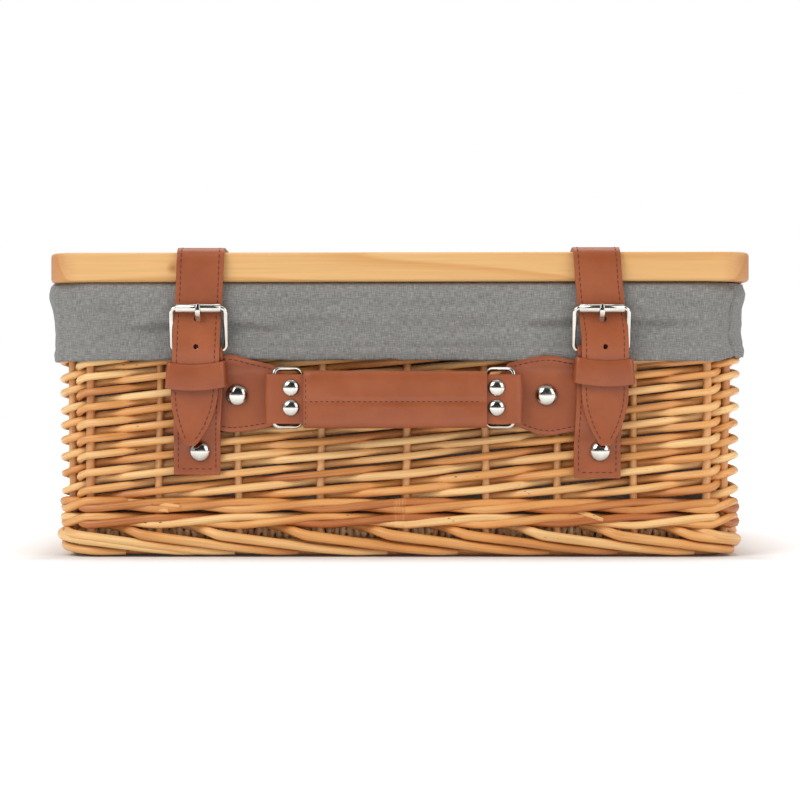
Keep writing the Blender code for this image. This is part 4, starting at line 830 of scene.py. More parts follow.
def make_base():
    """The base: stout sticks from side to side, and one long rod woven to and fro across them."""
    dice = random.Random(51)
    low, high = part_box("woven_base")
    middle = (low.z + high.z) / 2
    stick, weaver = 0.0026, 0.00165
    sticks = np.linspace(low.y + 0.006, high.y - 0.006, 7)
    ends = (low.x + 0.006, high.x - 0.006)
    runs = [[(x, y, middle) for x in np.linspace(*ends, 12)] for y in sticks]
    rods("base_sticks", runs, OLD_WILLOW, [], [np.ones(12)] * 7, [dice.uniform(0.2, 0.6) for _ in sticks], stick)
    reach = stick + weaver
    half_x = (high.x - low.x) / 2 - 0.006
    lines = 2 * round(half_x / 0.004) + 1
    run = []
    for line in range(lines):
        x = -half_x + 2 * half_x * line / (lines - 1)
        order = range(7) if line % 2 == 0 else range(6, -1, -1)
        for k in order:
            side = 1 if (line + k) % 2 == 0 else -1
            end = (k == 0 and -1) or (k == 6 and 1) or 0
            jog = x + dice.gauss(0, 0.0002)
            if end:
                turn_in = -end if (line % 2 == 0) == (k == 0) else end
                first = [(jog, sticks[k], middle + reach * side)]
                bulge = [(jog, sticks[k] + end * 0.0034, middle + reach * 0.2 * side)]
                run += (bulge + first) if turn_in == -end else (first + bulge)
            else:
                run.append((jog, sticks[k], middle + reach * side))
            if not end or (k == order[0]):
                nxt = sticks[k] + (sticks[1] - sticks[0]) * (0.5 if order[0] == 0 else -0.5)
                run.append((jog, nxt, middle))
    loops = []
    turns = np.linspace(0, math.tau, 14, endpoint=False)
    for y in (sticks[0], sticks[-1]):
        for line in range(lines):
            x = -half_x + 2 * half_x * (line + 0.5) / lines + dice.gauss(0, 0.0002)
            lean = dice.gauss(0, 0.0004) * np.sin(turns)
            loops.append(np.stack([x + lean, y + 0.0043 * np.cos(turns), middle + 0.0045 * np.sin(turns)], axis=-1))
    tones = [dice.uniform(0.35, 0.95) for _ in loops]
    rods("base_binding", loops, OLD_WILLOW, [], [np.ones(14)] * len(loops), tones, weaver, 1, closed=True)
    edge_runs = []
    for end in (-1, 1):
        for up in (-0.0040, 0.0, 0.0040):
            y = np.linspace(low.y + 0.004, high.y - 0.004, 40)
            wave = 0.0004 * np.sin(np.linspace(0, 21, 40) + up * 900 + end)
            edge_runs.append(np.stack([end * (half_x + 0.0036) + 0 * y, y, middle + up + wave], axis=-1))
    tones = [dice.uniform(0.35, 0.95) for _ in edge_runs]
    rods("base_edges", edge_runs, OLD_WILLOW, [], [np.ones(40)] * len(edge_runs), tones, 0.0020)
    path = smooth_run(run, 2)
    rods("base_rods", [path], OLD_WILLOW, ["woven_base"], [np.ones(len(path))], [0.5], weaver, 1)


# Cloth

CUFF_HEM = 0.1086
CORNER_SEAM = ((0.1500, 0.1802), (0.1455, 0.1826), (0.1345, 0.1808), (0.1190, 0.1804), (0.1124, 0.1830), (0.1060, 0.1838))
CUFF_TURNS = ((0.1400, -0.0146), (0.1440, -0.0140), (0.1474, -0.0122), (0.1494, -0.0090), (0.1501, -0.0055), (0.1501, -0.0020))
CUFF_FALL = (  # height, then how far out at the left, in front and behind, and at the right
    (0.1499, 0.0024, 0.0012, -0.0008),
    (0.1484, 0.0038, 0.0030, 0.0004),
    (0.1450, 0.0044, 0.0044, 0.0015),
    (0.1410, 0.0039, 0.0048, 0.0009),
    (0.1370, 0.0030, 0.0044, -0.0003),
    (0.1300, 0.0013, 0.0037, -0.0008),
    (0.1230, 0.0010, 0.0031, -0.0006),
    (0.1160, 0.0015, 0.0030, 0.0005),
    (0.1120, 0.0021, 0.0031, 0.0011),
    (0.1090, 0.0017, 0.0026, 0.0007),
    (0.1080, 0.0013, 0.0019, 0.0001),
)
CREASES = (  # soft folds on the front: from (x, z) to (x, z), how high, how wide
    ((-0.172, 0.1340), (-0.148, 0.1210), 0.0011, 0.0030),
    ((-0.160, 0.1440), (-0.136, 0.1290), 0.0010, 0.0034),
    ((-0.150, 0.1200), (-0.128, 0.1360), 0.0009, 0.0030),
    ((-0.150, 0.1238), (-0.114, 0.1262), -0.0027, 0.0024),
    ((-0.104, 0.1262), (-0.066, 0.1240), -0.0027, 0.0026),
    ((-0.088, 0.1320), (-0.020, 0.1345), 0.0011, 0.0030),
    ((-0.094, 0.1190), (-0.070, 0.1270), 0.0011, 0.0026),
    ((-0.020, 0.1310), (0.070, 0.1350), 0.0007, 0.0034),
    ((0.020, 0.1180), (0.075, 0.1240), 0.0006, 0.0030),
    ((0.068, 0.1262), (0.104, 0.1278), -0.0024, 0.0026),
    ((0.116, 0.1275), (0.152, 0.1262), -0.0022, 0.0026),
    ((0.128, 0.1180), (0.150, 0.1235), 0.0010, 0.0026),
    ((0.128, 0.1380), (0.166, 0.1300), 0.0010, 0.0030),
    ((0.150, 0.1190), (0.172, 0.1260), 0.0009, 0.0026),
)


def ease(value, low, high):
    """From 0 at low to 1 at high, smoothly."""
    share = np.clip((np.asarray(value, dtype=float) - low) / (high - low), 0, 1)
    return share * share * (3 - 2 * share)


def cloth_noise(x, y, seed):
    return np.array([noise.noise(Vector((a, b, seed))) for a, b in zip(np.ravel(x), np.ravel(y))]).reshape(np.shape(x))


def sheet_mesh(name, spots, across, down, thick):
    """A closed band of cloth from a grid of points, with its cloth coordinates in metres and its thickness inward."""
    rows, columns = spots.shape[:2]
    mesh = bpy.data.meshes.new(name)
    faces = [
        (r * columns + c, r * columns + (c + 1) % columns, (r + 1) * columns + (c + 1) % columns, (r + 1) * columns + c)
        for r in range(rows - 1)
        for c in range(columns)
    ]
    mesh.from_pydata(spots.reshape(-1, 3).tolist(), [], faces)
    layer = mesh.uv_layers.new(name="cloth")
    flat = []
    for r in range(rows - 1):
        for c in range(columns):
            flat += [across[c], down[r], across[c + 1], down[r], across[c + 1], down[r + 1], across[c], down[r + 1]]
    layer.data.foreach_set("uv", flat)
    made = bpy.data.objects.new(name, mesh)
    bpy.context.scene.collection.objects.link(made)
    thicken = made.modifiers.new("thick", "SOLIDIFY")
    thicken.thickness = thick
    thicken.offset = -1
    return as_mesh(made)


def cuff_spots(course, along, height_share):
    """Where the cuff hangs: height_share runs from its top edge to its hem."""
    base = course.place(along, 0.0, np.full(len(along), RIM_Z))
    x, y = base[:, 0], base[:, 1]
    table = np.array(CUFF_FALL)
    leftward, rightward = ease(-x, 0.150, 0.188), ease(x, 0.150, 0.188)
    hem = CUFF_HEM + 0.0009 * cloth_noise(along * 14, along * 0, 3.3) + 0.0005 * cloth_noise(along * 60, along * 0, 5.1)
    hem += np.where(y < -0.08, 0.0022 * ease(x, 0.172, 0.182), 0) - 0.0004 * ease(-x, 0.165, 0.186)
    z = table[0, 0] + (hem[None] - table[0, 0]) * height_share[:, None]
    scaled = table[0, 0] + (CUFF_HEM - table[0, 0]) * height_share
    left, front, right = (np.interp(-scaled, -table[:, 0], table[:, k]) for k in (1, 2, 3))
    out = front[:, None] * (1 - leftward - rightward) + left[:, None] * leftward + right[:, None] * rightward
    s = np.broadcast_to(along, z.shape)
    hang = np.sin(np.pi * np.clip(height_share, 0, 1))[:, None] ** 0.6
    out = out + hang * (0.0009 * cloth_noise(s * 19, z * 34, 0.7) + 0.0006 * cloth_noise(s * 52 + z * 60, z * 70, 1.9))
    out = out + hang * 0.0005 * (0.4 - np.abs(cloth_noise(s * 34 - z * 46, z * 52 + s * 12, 4.4)) * 2)
    pucker = np.exp(-(((height_share - 0.845) / 0.035) ** 2))[:, None]
    out = out - pucker * (0.00035 + 0.0002 * cloth_noise(s * 190, z * 0, 8.8))
    out = out + (1 - pucker) * ease(height_share, 0.8, 0.95)[:, None] * 0.00025 * cloth_noise(s * 150, z * 40, 9.4)
    front_on = (y < 0) & (np.abs(x) < 0.1755)
    for (x0, z0), (x1, z1), high, wide in CREASES:
        way = np.array([x1 - x0, z1 - z0])
        size = float(np.linalg.norm(way))
        way = way / size
        far = (x[None] - x0) * way[0] + (z - z0) * way[1]
        off = -(x[None] - x0) * way[1] + (z - z0) * way[0]
        ends = ease(far, -0.006, size * 0.35) * (1 - ease(far, size * 0.65, size + 0.006))
        fold = np.exp(-((off / wide) ** 2)) - 0.7 * np.exp(-(((off - wide * 1.5) / wide) ** 2))
        out = out + front_on[None] * ends * high * fold
    seam = np.array(CORNER_SEAM)
    near = np.where(y[None] < -0.08, np.abs(x[None] - np.interp(-z, -seam[:, 0], seam[:, 1])), 1.0)
    near = np.minimum(near, np.where(y[None] < -0.08, np.abs(-x[None] - 0.1835), 1.0))
    seam_fold = 0.0004 * np.exp(-(((near - 0.0028) / 0.0014) ** 2)) - 0.0009 * np.exp(-((near / 0.0009) ** 2))
    least = -0.0009 + 0.0020 * ease(y, -0.12, -0.10)[None] + 0.0026 * (1 - leftward - rightward)[None]
    out = np.maximum(out, least * ease(height_share, 0, 0.06)[:, None])
    most = np.where((y[None] < 0) & (np.abs(np.abs(x[None]) - STRAP_X) < 0.017), 0.0058 - 0.0026 * ease(-z, -0.122, -0.112), 0.0085)
    return np.minimum(out, most) + seam_fold, z


def make_cuff():
    """The liner's cuff: up inside the rim, over it and down to a sewn hem, with its seams at the corners."""
    course = Round(0.0)
    along = np.linspace(0, course.length, 620, endpoint=False)
    along = np.unique(np.concatenate([along, np.linspace(0.168, 0.196, 56)]))
    columns = len(along)
    shares = np.concatenate([np.linspace(0, 0.78, 27), np.linspace(0.80, 0.99, 13), [1.0]])
    out, z = cuff_spots(course, along, shares)
    turn_z = np.array([point[0] for point in CUFF_TURNS])
    turn_out = np.array([point[1] for point in CUFF_TURNS])
    inner_out = turn_out[:, None] + 0.0003 * cloth_noise(np.broadcast_to(along * 30, (6, columns)), turn_z[:, None] * 90 + 0 * along, 6.0)
    inner_z = np.broadcast_to(turn_z[:, None], inner_out.shape)
    under = [(-0.0005, 0.0000), (-0.0011, 0.0004), (-0.0013, 0.0020), (-0.0013, 0.0050)]
    fold_out = np.stack([np.maximum(out[-1] + back, 0.0005) for back, _ in under])
    fold_z = np.stack([z[-1] + up for _, up in under])
    all_out, all_z = np.vstack([inner_out, out, fold_out]), np.vstack([inner_z, z, fold_z])
    spots = np.stack([course.place(along, row_out, row_z) for row_out, row_z in zip(all_out, all_z)])
    steps = np.linalg.norm(np.diff(spots, axis=0), axis=2).mean(axis=1)
    down = np.concatenate([[0], np.cumsum(steps)])
    mesh = sheet_mesh("cuff_cloth", spots, np.append(along, course.length), down, 0.0008)
    cuff = dress("cuff_cloth", mesh, CLOTH, "basket", ["liner_cuff"], 60)
    thread = sew_cuff(course)


def sew_cuff(course):
    """The line of stitches above the hem, and the one down the corner seam, which is drawn dark and close set as
    painted shade of the seam's fold.
    """
    shape = bmesh.new()
    count = int(course.length / 0.0031)
    along = np.linspace(0, course.length, count, endpoint=False)
    out, z = cuff_spots(course, along, np.array([0.845]))
    spots = course.place(along, out[0] + 0.00012, z[0])
    ways = np.roll(spots, -1, axis=0) - np.roll(spots, 1, axis=0)
    for spot, way in zip(spots, ways):
        place = Matrix.Translation(spot) @ Vector(way).to_track_quat("Z", "Y").to_matrix().to_4x4()
        scale = Matrix.Diagonal((0.00030, 0.00030, 0.00115, 1))
        bmesh.ops.create_uvsphere(shape, u_segments=6, v_segments=4, radius=1, matrix=place @ scale)
    # the corner seam's stitches: real stitches, set close in dark thread as a painted shade line along the fold
    corner = np.linspace(0.160, 0.200, 161)
    out, z = cuff_spots(course, corner, np.linspace(0.02, 0.93, 17))
    for row_out, row_z in zip(out, z):
        line = course.place(corner, row_out + 0.0005, row_z)
        spot = line[np.argmin(np.abs(line[:, 0] - np.interp(-row_z, *(np.array(CORNER_SEAM) * (-1, 1)).T)))]
        scale = Matrix.Diagonal((0.00036, 0.00036, 0.0013, 1))
        bmesh.ops.create_uvsphere(shape, u_segments=6, v_segments=4, radius=1, matrix=Matrix.Translation(spot) @ scale)
    return finished("cuff_stitches", shape, GREY_THREAD_AND_SEAM_SHADE, "basket", smooth=0)


def make_bag():
    """The liner inside the basket, down the walls and over the base, a little loose."""
    top, bottom = 0.1420, 0.0215
    columns, inset = 420, 0.0152
    course = Round(inset)
    along = np.linspace(0, course.length, columns, endpoint=False)
    rows = []
    for z in np.linspace(top, bottom + 0.006, 34):
        hang = math.sin(math.pi * (top - z) / (top - bottom)) ** 0.7
        slack = -0.0006 - 0.0016 * hang * (0.5 + 0.5 * cloth_noise(along * 12, along * 0 + z * 14, 2.2))
        slack -= 0.0008 * hang * np.abs(cloth_noise(along * 36 + z * 26, along * 0 + z * 30, 7.7))
        rows.append(course.place(along, slack, np.full(columns, z)))
    for turn in (30, 60, 90):
        angle = math.radians(turn)
        inward = -0.0006 - 0.006 * (1 - math.cos(angle))
        rows.append(course.place(along, inward, np.full(columns, bottom + 0.006 - 0.006 * math.sin(angle))))
    edge = rows[-1]
    middle = np.array([0.0, MIDDLE_Y, 0.0])
    for share in np.linspace(0.96, 0.02, 30):
        row = middle + (edge - middle) * share
        lift = 0.0012 * np.abs(cloth_noise(row[:, 0] * 22, row[:, 1] * 22, 3.1)) * min(1, (1 - share) * 8)
        row[:, 2] = edge[:, 2] + lift
        rows.append(row)
    spots = np.array(rows)
    steps = np.linalg.norm(np.diff(spots, axis=0), axis=2).mean(axis=1)
    down = np.concatenate([[0], np.cumsum(steps)])
    mesh = sheet_mesh("bag_cloth", spots[:, ::-1], np.append(along, course.length), down, 0.0008)
    bag = dress("bag_cloth", mesh, CLOTH, "basket", ["liner_bag"], 60)


# Leather

STITCH_IN = 0.0025  # of the stitches from the edges
SHARES = (-1, -0.93, -0.80, -0.5, -0.165, 0.165, 0.5, 0.80, 0.93, 1)
LID_TOP = 0.1681
ANCHOR_EDGES = {  # how far each tab reaches down and up, by the distance from its ring
    "left": (
        ((0, 0.0120), (0.006, 0.0124), (0.011, 0.0140), (0.0216, 0.0168), (0.0368, 0.0188), (0.047, 0.0174), (0.065, 0.0150)),
        ((0, 0.0120), (0.006, 0.0124), (0.011, 0.0146), (0.0134, 0.0173), (0.027, 0.0208), (0.0417, 0.0236), (0.065, 0.0190)),
    ),
    "right": (
        ((0, 0.0120), (0.006, 0.0124), (0.011, 0.0140), (0.015, 0.0152), (0.0314, 0.0205), (0.0479, 0.0181), (0.072, 0.0150)),
        ((0, 0.0120), (0.006, 0.0124), (0.0095, 0.0160), (0.0126, 0.0192), (0.0314, 0.0230), (0.0468, 0.0208), (0.072, 0.0170)),
    ),
}
SWAY = {  # how far the front strap hangs to one side, by height
    "left": ((0.170, 0.0010), (0.150, 0.0003), (0.136, -0.0004), (0.113, -0.0014), (0.098, -0.0020), (0.080, -0.0030), (0.060, -0.0050)),
    "right": ((0.170, -0.0026), (0.150, -0.0012), (0.136, 0.0002), (0.120, 0.0020), (0.098, 0.0021), (0.080, 0.0022), (0.060, 0.0024)),
}


def on_lid(path):
    """A strap's path, raised where it lies on the board."""
    return [(x, y, z + lid_rise(x) * float(ease(z, 0.155, 0.165))) for x, y, z in path]


def sway_at(side, z):
    table = np.array(SWAY[side])
    return float(np.interp(-z, -table[:, 0], table[:, 1]))


def pierce(shape, spots):
    """Cuts round holes at (x, along, radius) through a flat strip."""
    tools = bmesh.new()
    for x, along, radius in spots:
        place = Matrix.Translation((x, along, 0))
        bmesh.ops.create_cone(tools, cap_ends=True, segments=20, radius1=radius, radius2=radius, depth=0.02, matrix=place)
    made = []
    for label, part in (("strip", shape), ("punch", tools)):
        mesh = bpy.data.meshes.new(label)
        part.to_mesh(mesh)
        part.free()
        made.append(bpy.data.objects.new(label, mesh))
        bpy.context.scene.collection.objects.link(made[-1])
    cut = made[0].modifiers.new("holes", "BOOLEAN")
    cut.object = made[1]
    cut.operation = "DIFFERENCE"
    cut.solver = "EXACT"
    mesh = as_mesh(made[0])
    bpy.data.objects.remove(made[1])
    result = bmesh.new()
    result.from_mesh(mesh)
    return result


def strap(name, path, across, half, body, replaced=(), thick=STRAP_THICK, holes=(), slot=None, tip=False, sewn=(0, 1), blend=None):
    """A strip of leather cut flat, sewn along its edges and laid along a course, and its stitches."""
    course = Course(path, across, 8)
    length = course.length
    shape = flat_strip(length, half, thick, SHARES, int(length / 0.0016), 0.0004)
    if slot:
        gone = [f for f in shape.faces if abs(f.calc_center_median().x) < 0.0020 and slot[0] < f.calc_center_median().y < slot[1]]
        bmesh.ops.delete(shape, geom=gone, context="FACES")
        edges = [e for e in shape.edges if e.is_boundary]
        bmesh.ops.bridge_loops(shape, edges=edges)
    if holes:
        shape = pierce(shape, holes)
    thread = bmesh.new()
    first, last = sewn[0] * length + (STITCH_IN if sewn[0] == 0 else 0), sewn[1] * length
    places = np.linspace(first, last - (STITCH_IN * 1.3 if tip or sewn[1] == 1 else 0), 60)
    lines = [[(way * max(0.0, half(at) - STITCH_IN), at) for at in places] for way in (-1, 1)]
    if tip == "square":
        lines.append([(x, places[-1]) for x in np.linspace(-half(places[-1]) + STITCH_IN * 1.5, half(places[-1]) - STITCH_IN * 1.5, 8)])
    for line in lines:
        sew(thread, line, thick / 2 + 0.00002)
    course.bend(shape)
    course.bend(thread)
    made = finished(name, shape, LEATHER, body, replaced, 50)
    threads = finished(name + "_stitches", thread, THREAD, body, smooth=0)
    if blend:
        for piece in (made, threads):
            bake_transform(piece)
    return course


def make_straps():
    """Each long strap in three lengths: up the back and on to the lid, across the lid, and down the front to its tip."""
    for side, sign in SIDES.items():
        x = sign * STRAP_X
        rear = [(0.1495, 0.052), (0.1495, 0.064), (0.1496, 0.078), (0.1498, 0.093), (0.1524, 0.1052), (0.1543, 0.114)]
        rear += [(0.1549, 0.126), (0.1562, 0.136), (0.1565, 0.146), (0.1565, 0.154), (0.1565, 0.1632), (0.1550, 0.1668)]
        rear += [(0.1515, LID_TOP), (0.140, LID_TOP), (0.110, LID_TOP), (0.084, LID_TOP)]
        blend = ("basket", "lid", (x, 0.156, 0.1475), (x, 0.156, 0.1545))
        strap(
            f"{side}_rear_strap", on_lid([(x, y, z) for y, z in rear]), (1, 0, 0), lambda at: STRAP_HALF, None, [f"{side}_hinge_strap"],
            sewn=(0, 1), blend=blend,
        )
        across = [(0.084, LID_TOP), (0.040, LID_TOP), (0.0, LID_TOP), (-0.040, LID_TOP), (-0.076, LID_TOP)]
        strap(
            f"{side}_top_strap", on_lid([(x, y, z) for y, z in across]), (1, 0, 0), lambda at: STRAP_HALF, "lid", [f"{side}_lid_strap"],
        )
        front = [(-0.076, LID_TOP), (-0.100, LID_TOP), (-0.125, LID_TOP), (-0.1400, LID_TOP), (-0.1442, 0.1678), (-0.1473, 0.1661)]
        front += [(-0.1486, 0.1625), (-0.1488, 0.156), (-0.1487, 0.149), (-0.1486, 0.143), (-0.1488, 0.136), (-0.1502, 0.129)]
        front += [(-0.1514, 0.1216), (-0.1516, 0.1135), (-0.1508, 0.1071), (-0.1496, 0.0995), (-0.1489, 0.0923), (-0.1488, 0.0769)]
        front += [(-0.1489, 0.068), (-0.1492, 0.0615)]
        path = []
        for y, z in front:
            fade = float(ease(-y, 0.080, 0.146))
            path.append((x + sway_at(side, z) * fade, y, z))
        path = on_lid(path)
        course = Course(path, (1, 0, 0), 8)
        length = course.length

        def half(at, length=length):
            share = min(1.0, max(0.0, (length - at) / 0.030))
            return 0.0025 + (STRAP_HALF - 0.0025) * math.sin(share * math.pi / 2) ** 0.8

        marks = [float(np.interp(-z, -course.points[80:, 2], course.far[80:])) for z in (0.1302, 0.1152)]
        strap(
            f"{side}_front_strap", path, (1, 0, 0), half, None, [f"{side}_strap_tail"], holes=[(0, marks[0], 0.0019), (0, marks[1], 0.0014)],
            tip="point", blend=("lid", f"{side}_tail", (x, -0.1484, 0.1655), (x, -0.1484, 0.1600)),
        )


def make_buckle_straps():
    """The strap that holds each buckle: doubled round its heel bar behind the keeper, riveted below."""
    for side, sign in SIDES.items():
        x = sign * STRAP_X
        path = [(-0.1450, 0.086), (-0.1450, 0.094), (-0.1449, 0.101), (-0.1444, 0.108)]
        for turn in range(0, 181, 30):
            angle = math.radians(turn)
            path.append((HEEL.y + 0.0024 * math.cos(angle), HEEL.z + 0.0024 * math.sin(angle)))
        first = len(path)
        path += [(-0.1484, 0.1092), (-0.1471, 0.1050), (-0.1467, 0.0995), (-0.1467, 0.092), (-0.1467, 0.083), (-0.1465, 0.0760)]
        path += [(-0.1455, 0.0705), (-0.1436, 0.0665), (-0.1419, 0.0630), (-0.1414, 0.0580), (-0.1414, 0.0510)]
        path.append((-0.1415, {"left": 0.0454, "right": 0.0434}[side]))
        lean = {"left": -0.0016, "right": -0.0015}[side]
        spots = [(x + lean * float(ease(-z, -0.100, -0.060)), y, z) for y, z in path]
        course = Course(spots, (1, 0, 0), 8)
        fold = course.far[(first - 4) * 8]
        strap(
            f"{side}_lower_strap", spots, (1, 0, 0), lambda at: STRAP_HALF, "basket", [f"{side}_buckle_strap"], thick=0.00125,
            slot=(fold - 0.0055, fold + 0.0065), tip="square", sewn=(0.35, 1),
        )


def make_keepers():
    """The leather loops that hold the strap ends down."""
    for side, sign in SIDES.items():
        low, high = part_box(f"{side}_keeper")
        raise_by = {"left": 0.0, "right": 0.0022}[side]
        lean = {"left": 0.02, "right": -0.03}[side]
        middle = (low + high) / 2
        half_x, half_y, corner, thick = (high.x - low.x) / 2, (high.y - low.y) / 2, 0.0026, 0.0015
        outline, ways = [], []
        for sx, sy, start in ((1, -1, -90), (1, 1, 0), (-1, 1, 90), (-1, -1, 180)):
            for step in range(7):
                angle = math.radians(start + 15 * step)
                way = Vector((math.cos(angle), math.sin(angle), 0))
                outline.append(Vector((sx * (half_x - corner), sy * (half_y - corner), 0)) + way * corner)
                ways.append(way)
            after = {(1, -1): (1, 0), (1, 1): (0, 1), (-1, 1): (-1, 0), (-1, -1): (0, -1)}[(sx, sy)]
            side_long = 2 * ((half_y if after[0] else half_x) - corner)
            steps = 5 if after[0] else 15
            run = Vector((0, after[0], 0)) if after[0] else Vector((-after[1], 0, 0))
            base = outline[-1].copy()
            for step in range(1, steps):
                outline.append(base + run * side_long * step / steps)
                ways.append(Vector((after[0], after[1], 0)))
        section = []
        half_z = (high.z - low.z) / 2
        for px, pz, start in ((0, half_z, 0), (-thick, half_z, 90), (-thick, -half_z, 180), (0, -half_z, 270)):
            for step in range(4):
                angle = math.radians(start + 30 * step)
                cx, cz = px + (0.0005 if px < 0 else -0.0005), pz + (-0.0005 if pz > 0 else 0.0005)
                section.append((cx + 0.0005 * math.cos(angle), cz + 0.0005 * math.sin(angle)))
            if start in (90, 270):
                ends = (-thick, 0) if start == 90 else (0, 0)
                way = -1 if start == 90 else 1
                for step in (-0.66, -0.33, 0, 0.33, 0.66):
                    section.append((ends[0], way * step * half_z))
        shape = bmesh.new()
        rings = []
        for spot, way in zip(outline, ways):
            ring = []
            for out, z in section:
                puff = 0.0005 * noise.noise(Vector((spot.x * 90, spot.y * 90, z * 60 + sign))) if way.y < -0.5 else 0
                place = spot + way * (out + puff + (0.0004 * (1 - (z / half_z) ** 2) if way.y < -0.5 else 0))
                sag = 0.0007 - 0.0018 * (1 - (place.x / half_x) ** 2) * float(ease(-place.y, 0, half_y))
                flare = 1 - 0.035 * z / half_z
                ring.append(shape.verts.new(middle + Vector((place.x * flare, place.y, z + raise_by + sag + lean * place.x))))
            rings.append(ring)
        for here, there in zip(rings, rings[1:] + rings[:1]):
            for k in range(len(section)):
                shape.faces.new((here[k], here[(k + 1) % len(section)], there[(k + 1) % len(section)], there[k]))
        bmesh.ops.recalc_face_normals(shape, faces=shape.faces)
        finished(f"{side}_loop", shape, LEATHER, f"{side}_keeper_loop", [f"{side}_keeper"], 60)


def make_anchors():
    """The tabs on the wall that hold the rings: each ends in a fold round its ring's inner bar."""
    for side, sign in SIDES.items():
        pivot = HANDLE_X + sign * 0.051
        reach = STRAP_X + 0.0085 - sign * pivot
        plan = [(reach, -0.14155), (reach * 0.8, -0.14155), (reach * 0.6, -0.1416), (reach * 0.4, -0.1416), (0.0170, -0.1416), (0.0100, -0.1420)]
        plan += [(0.0060, -0.1434), (0.0030, -0.1458)]
        for turn in (100, 130, 165, 200, 235, 265):
            angle = math.radians(turn)
            plan.append((0.0024 * math.sin(math.radians(turn - 90)) * -1, -0.1442 - 0.0024 * math.cos(math.radians(turn - 90))))
        path = [(pivot + sign * far, y, HANDLE_Z) for far, y in plan]
        course = Course(path, (0, 0, -sign), 8)
        length = course.length
        lows, highs = (smooth_run([(far, half, 0) for far, half in edge], 6) for edge in ANCHOR_EDGES[side])

        def edges(at, reach=reach, lows=lows, highs=highs):
            from_pivot = max(0.0, reach - at)
            low = np.interp(from_pivot, lows[:, 0], lows[:, 1])
            high = np.interp(from_pivot, highs[:, 0], highs[:, 1])
            return float(low), float(high)

        shape = bmesh.new()
        rows, columns = 44, 15
        grid = []
        for r in range(rows + 1):
            at = length * r / rows
            low, high = edges(at)
            line = []
            for c in range(columns + 1):
                up = -low + (low + high) * c / columns
                line.append(shape.verts.new((-sign * up, at, -0.0009)))
            grid.append(line)
        for r in range(rows):
            for c in range(columns):
                shape.faces.new((grid[r][c], grid[r + 1][c], grid[r + 1][c + 1], grid[r][c + 1]))
        bmesh.ops.recalc_face_normals(shape, faces=shape.faces)
        if shape.faces[0].normal.z < 0:
            bmesh.ops.reverse_faces(shape, faces=shape.faces)
        lift_sheet(shape, 0.0018)
        soften(shape, 0.0004)
        thread = bmesh.new()
        for which in (0, 1):
            line = []
            for at in np.linspace(0.002, length - 0.016, 50):
                edge = edges(at)[which] - STITCH_IN
                line.append((-sign * edge * (1 if which else -1), at))
            sew(thread, line, 0.00092)
        for part in (shape, thread):
            course.bend(part)
            for vert in part.verts:
                over = float(ease(vert.co.z, 0.1030, 0.1075)) * float(ease(abs(vert.co.x), 0.060, 0.085))
                vert.co.y -= 0.0033 * over
        finished(f"{side}_tab", shape, LEATHER, "basket", [f"{side}_handle_anchor"], 50)
        finished(f"{side}_tab_stitches", thread, THREAD, "basket", smooth=0)


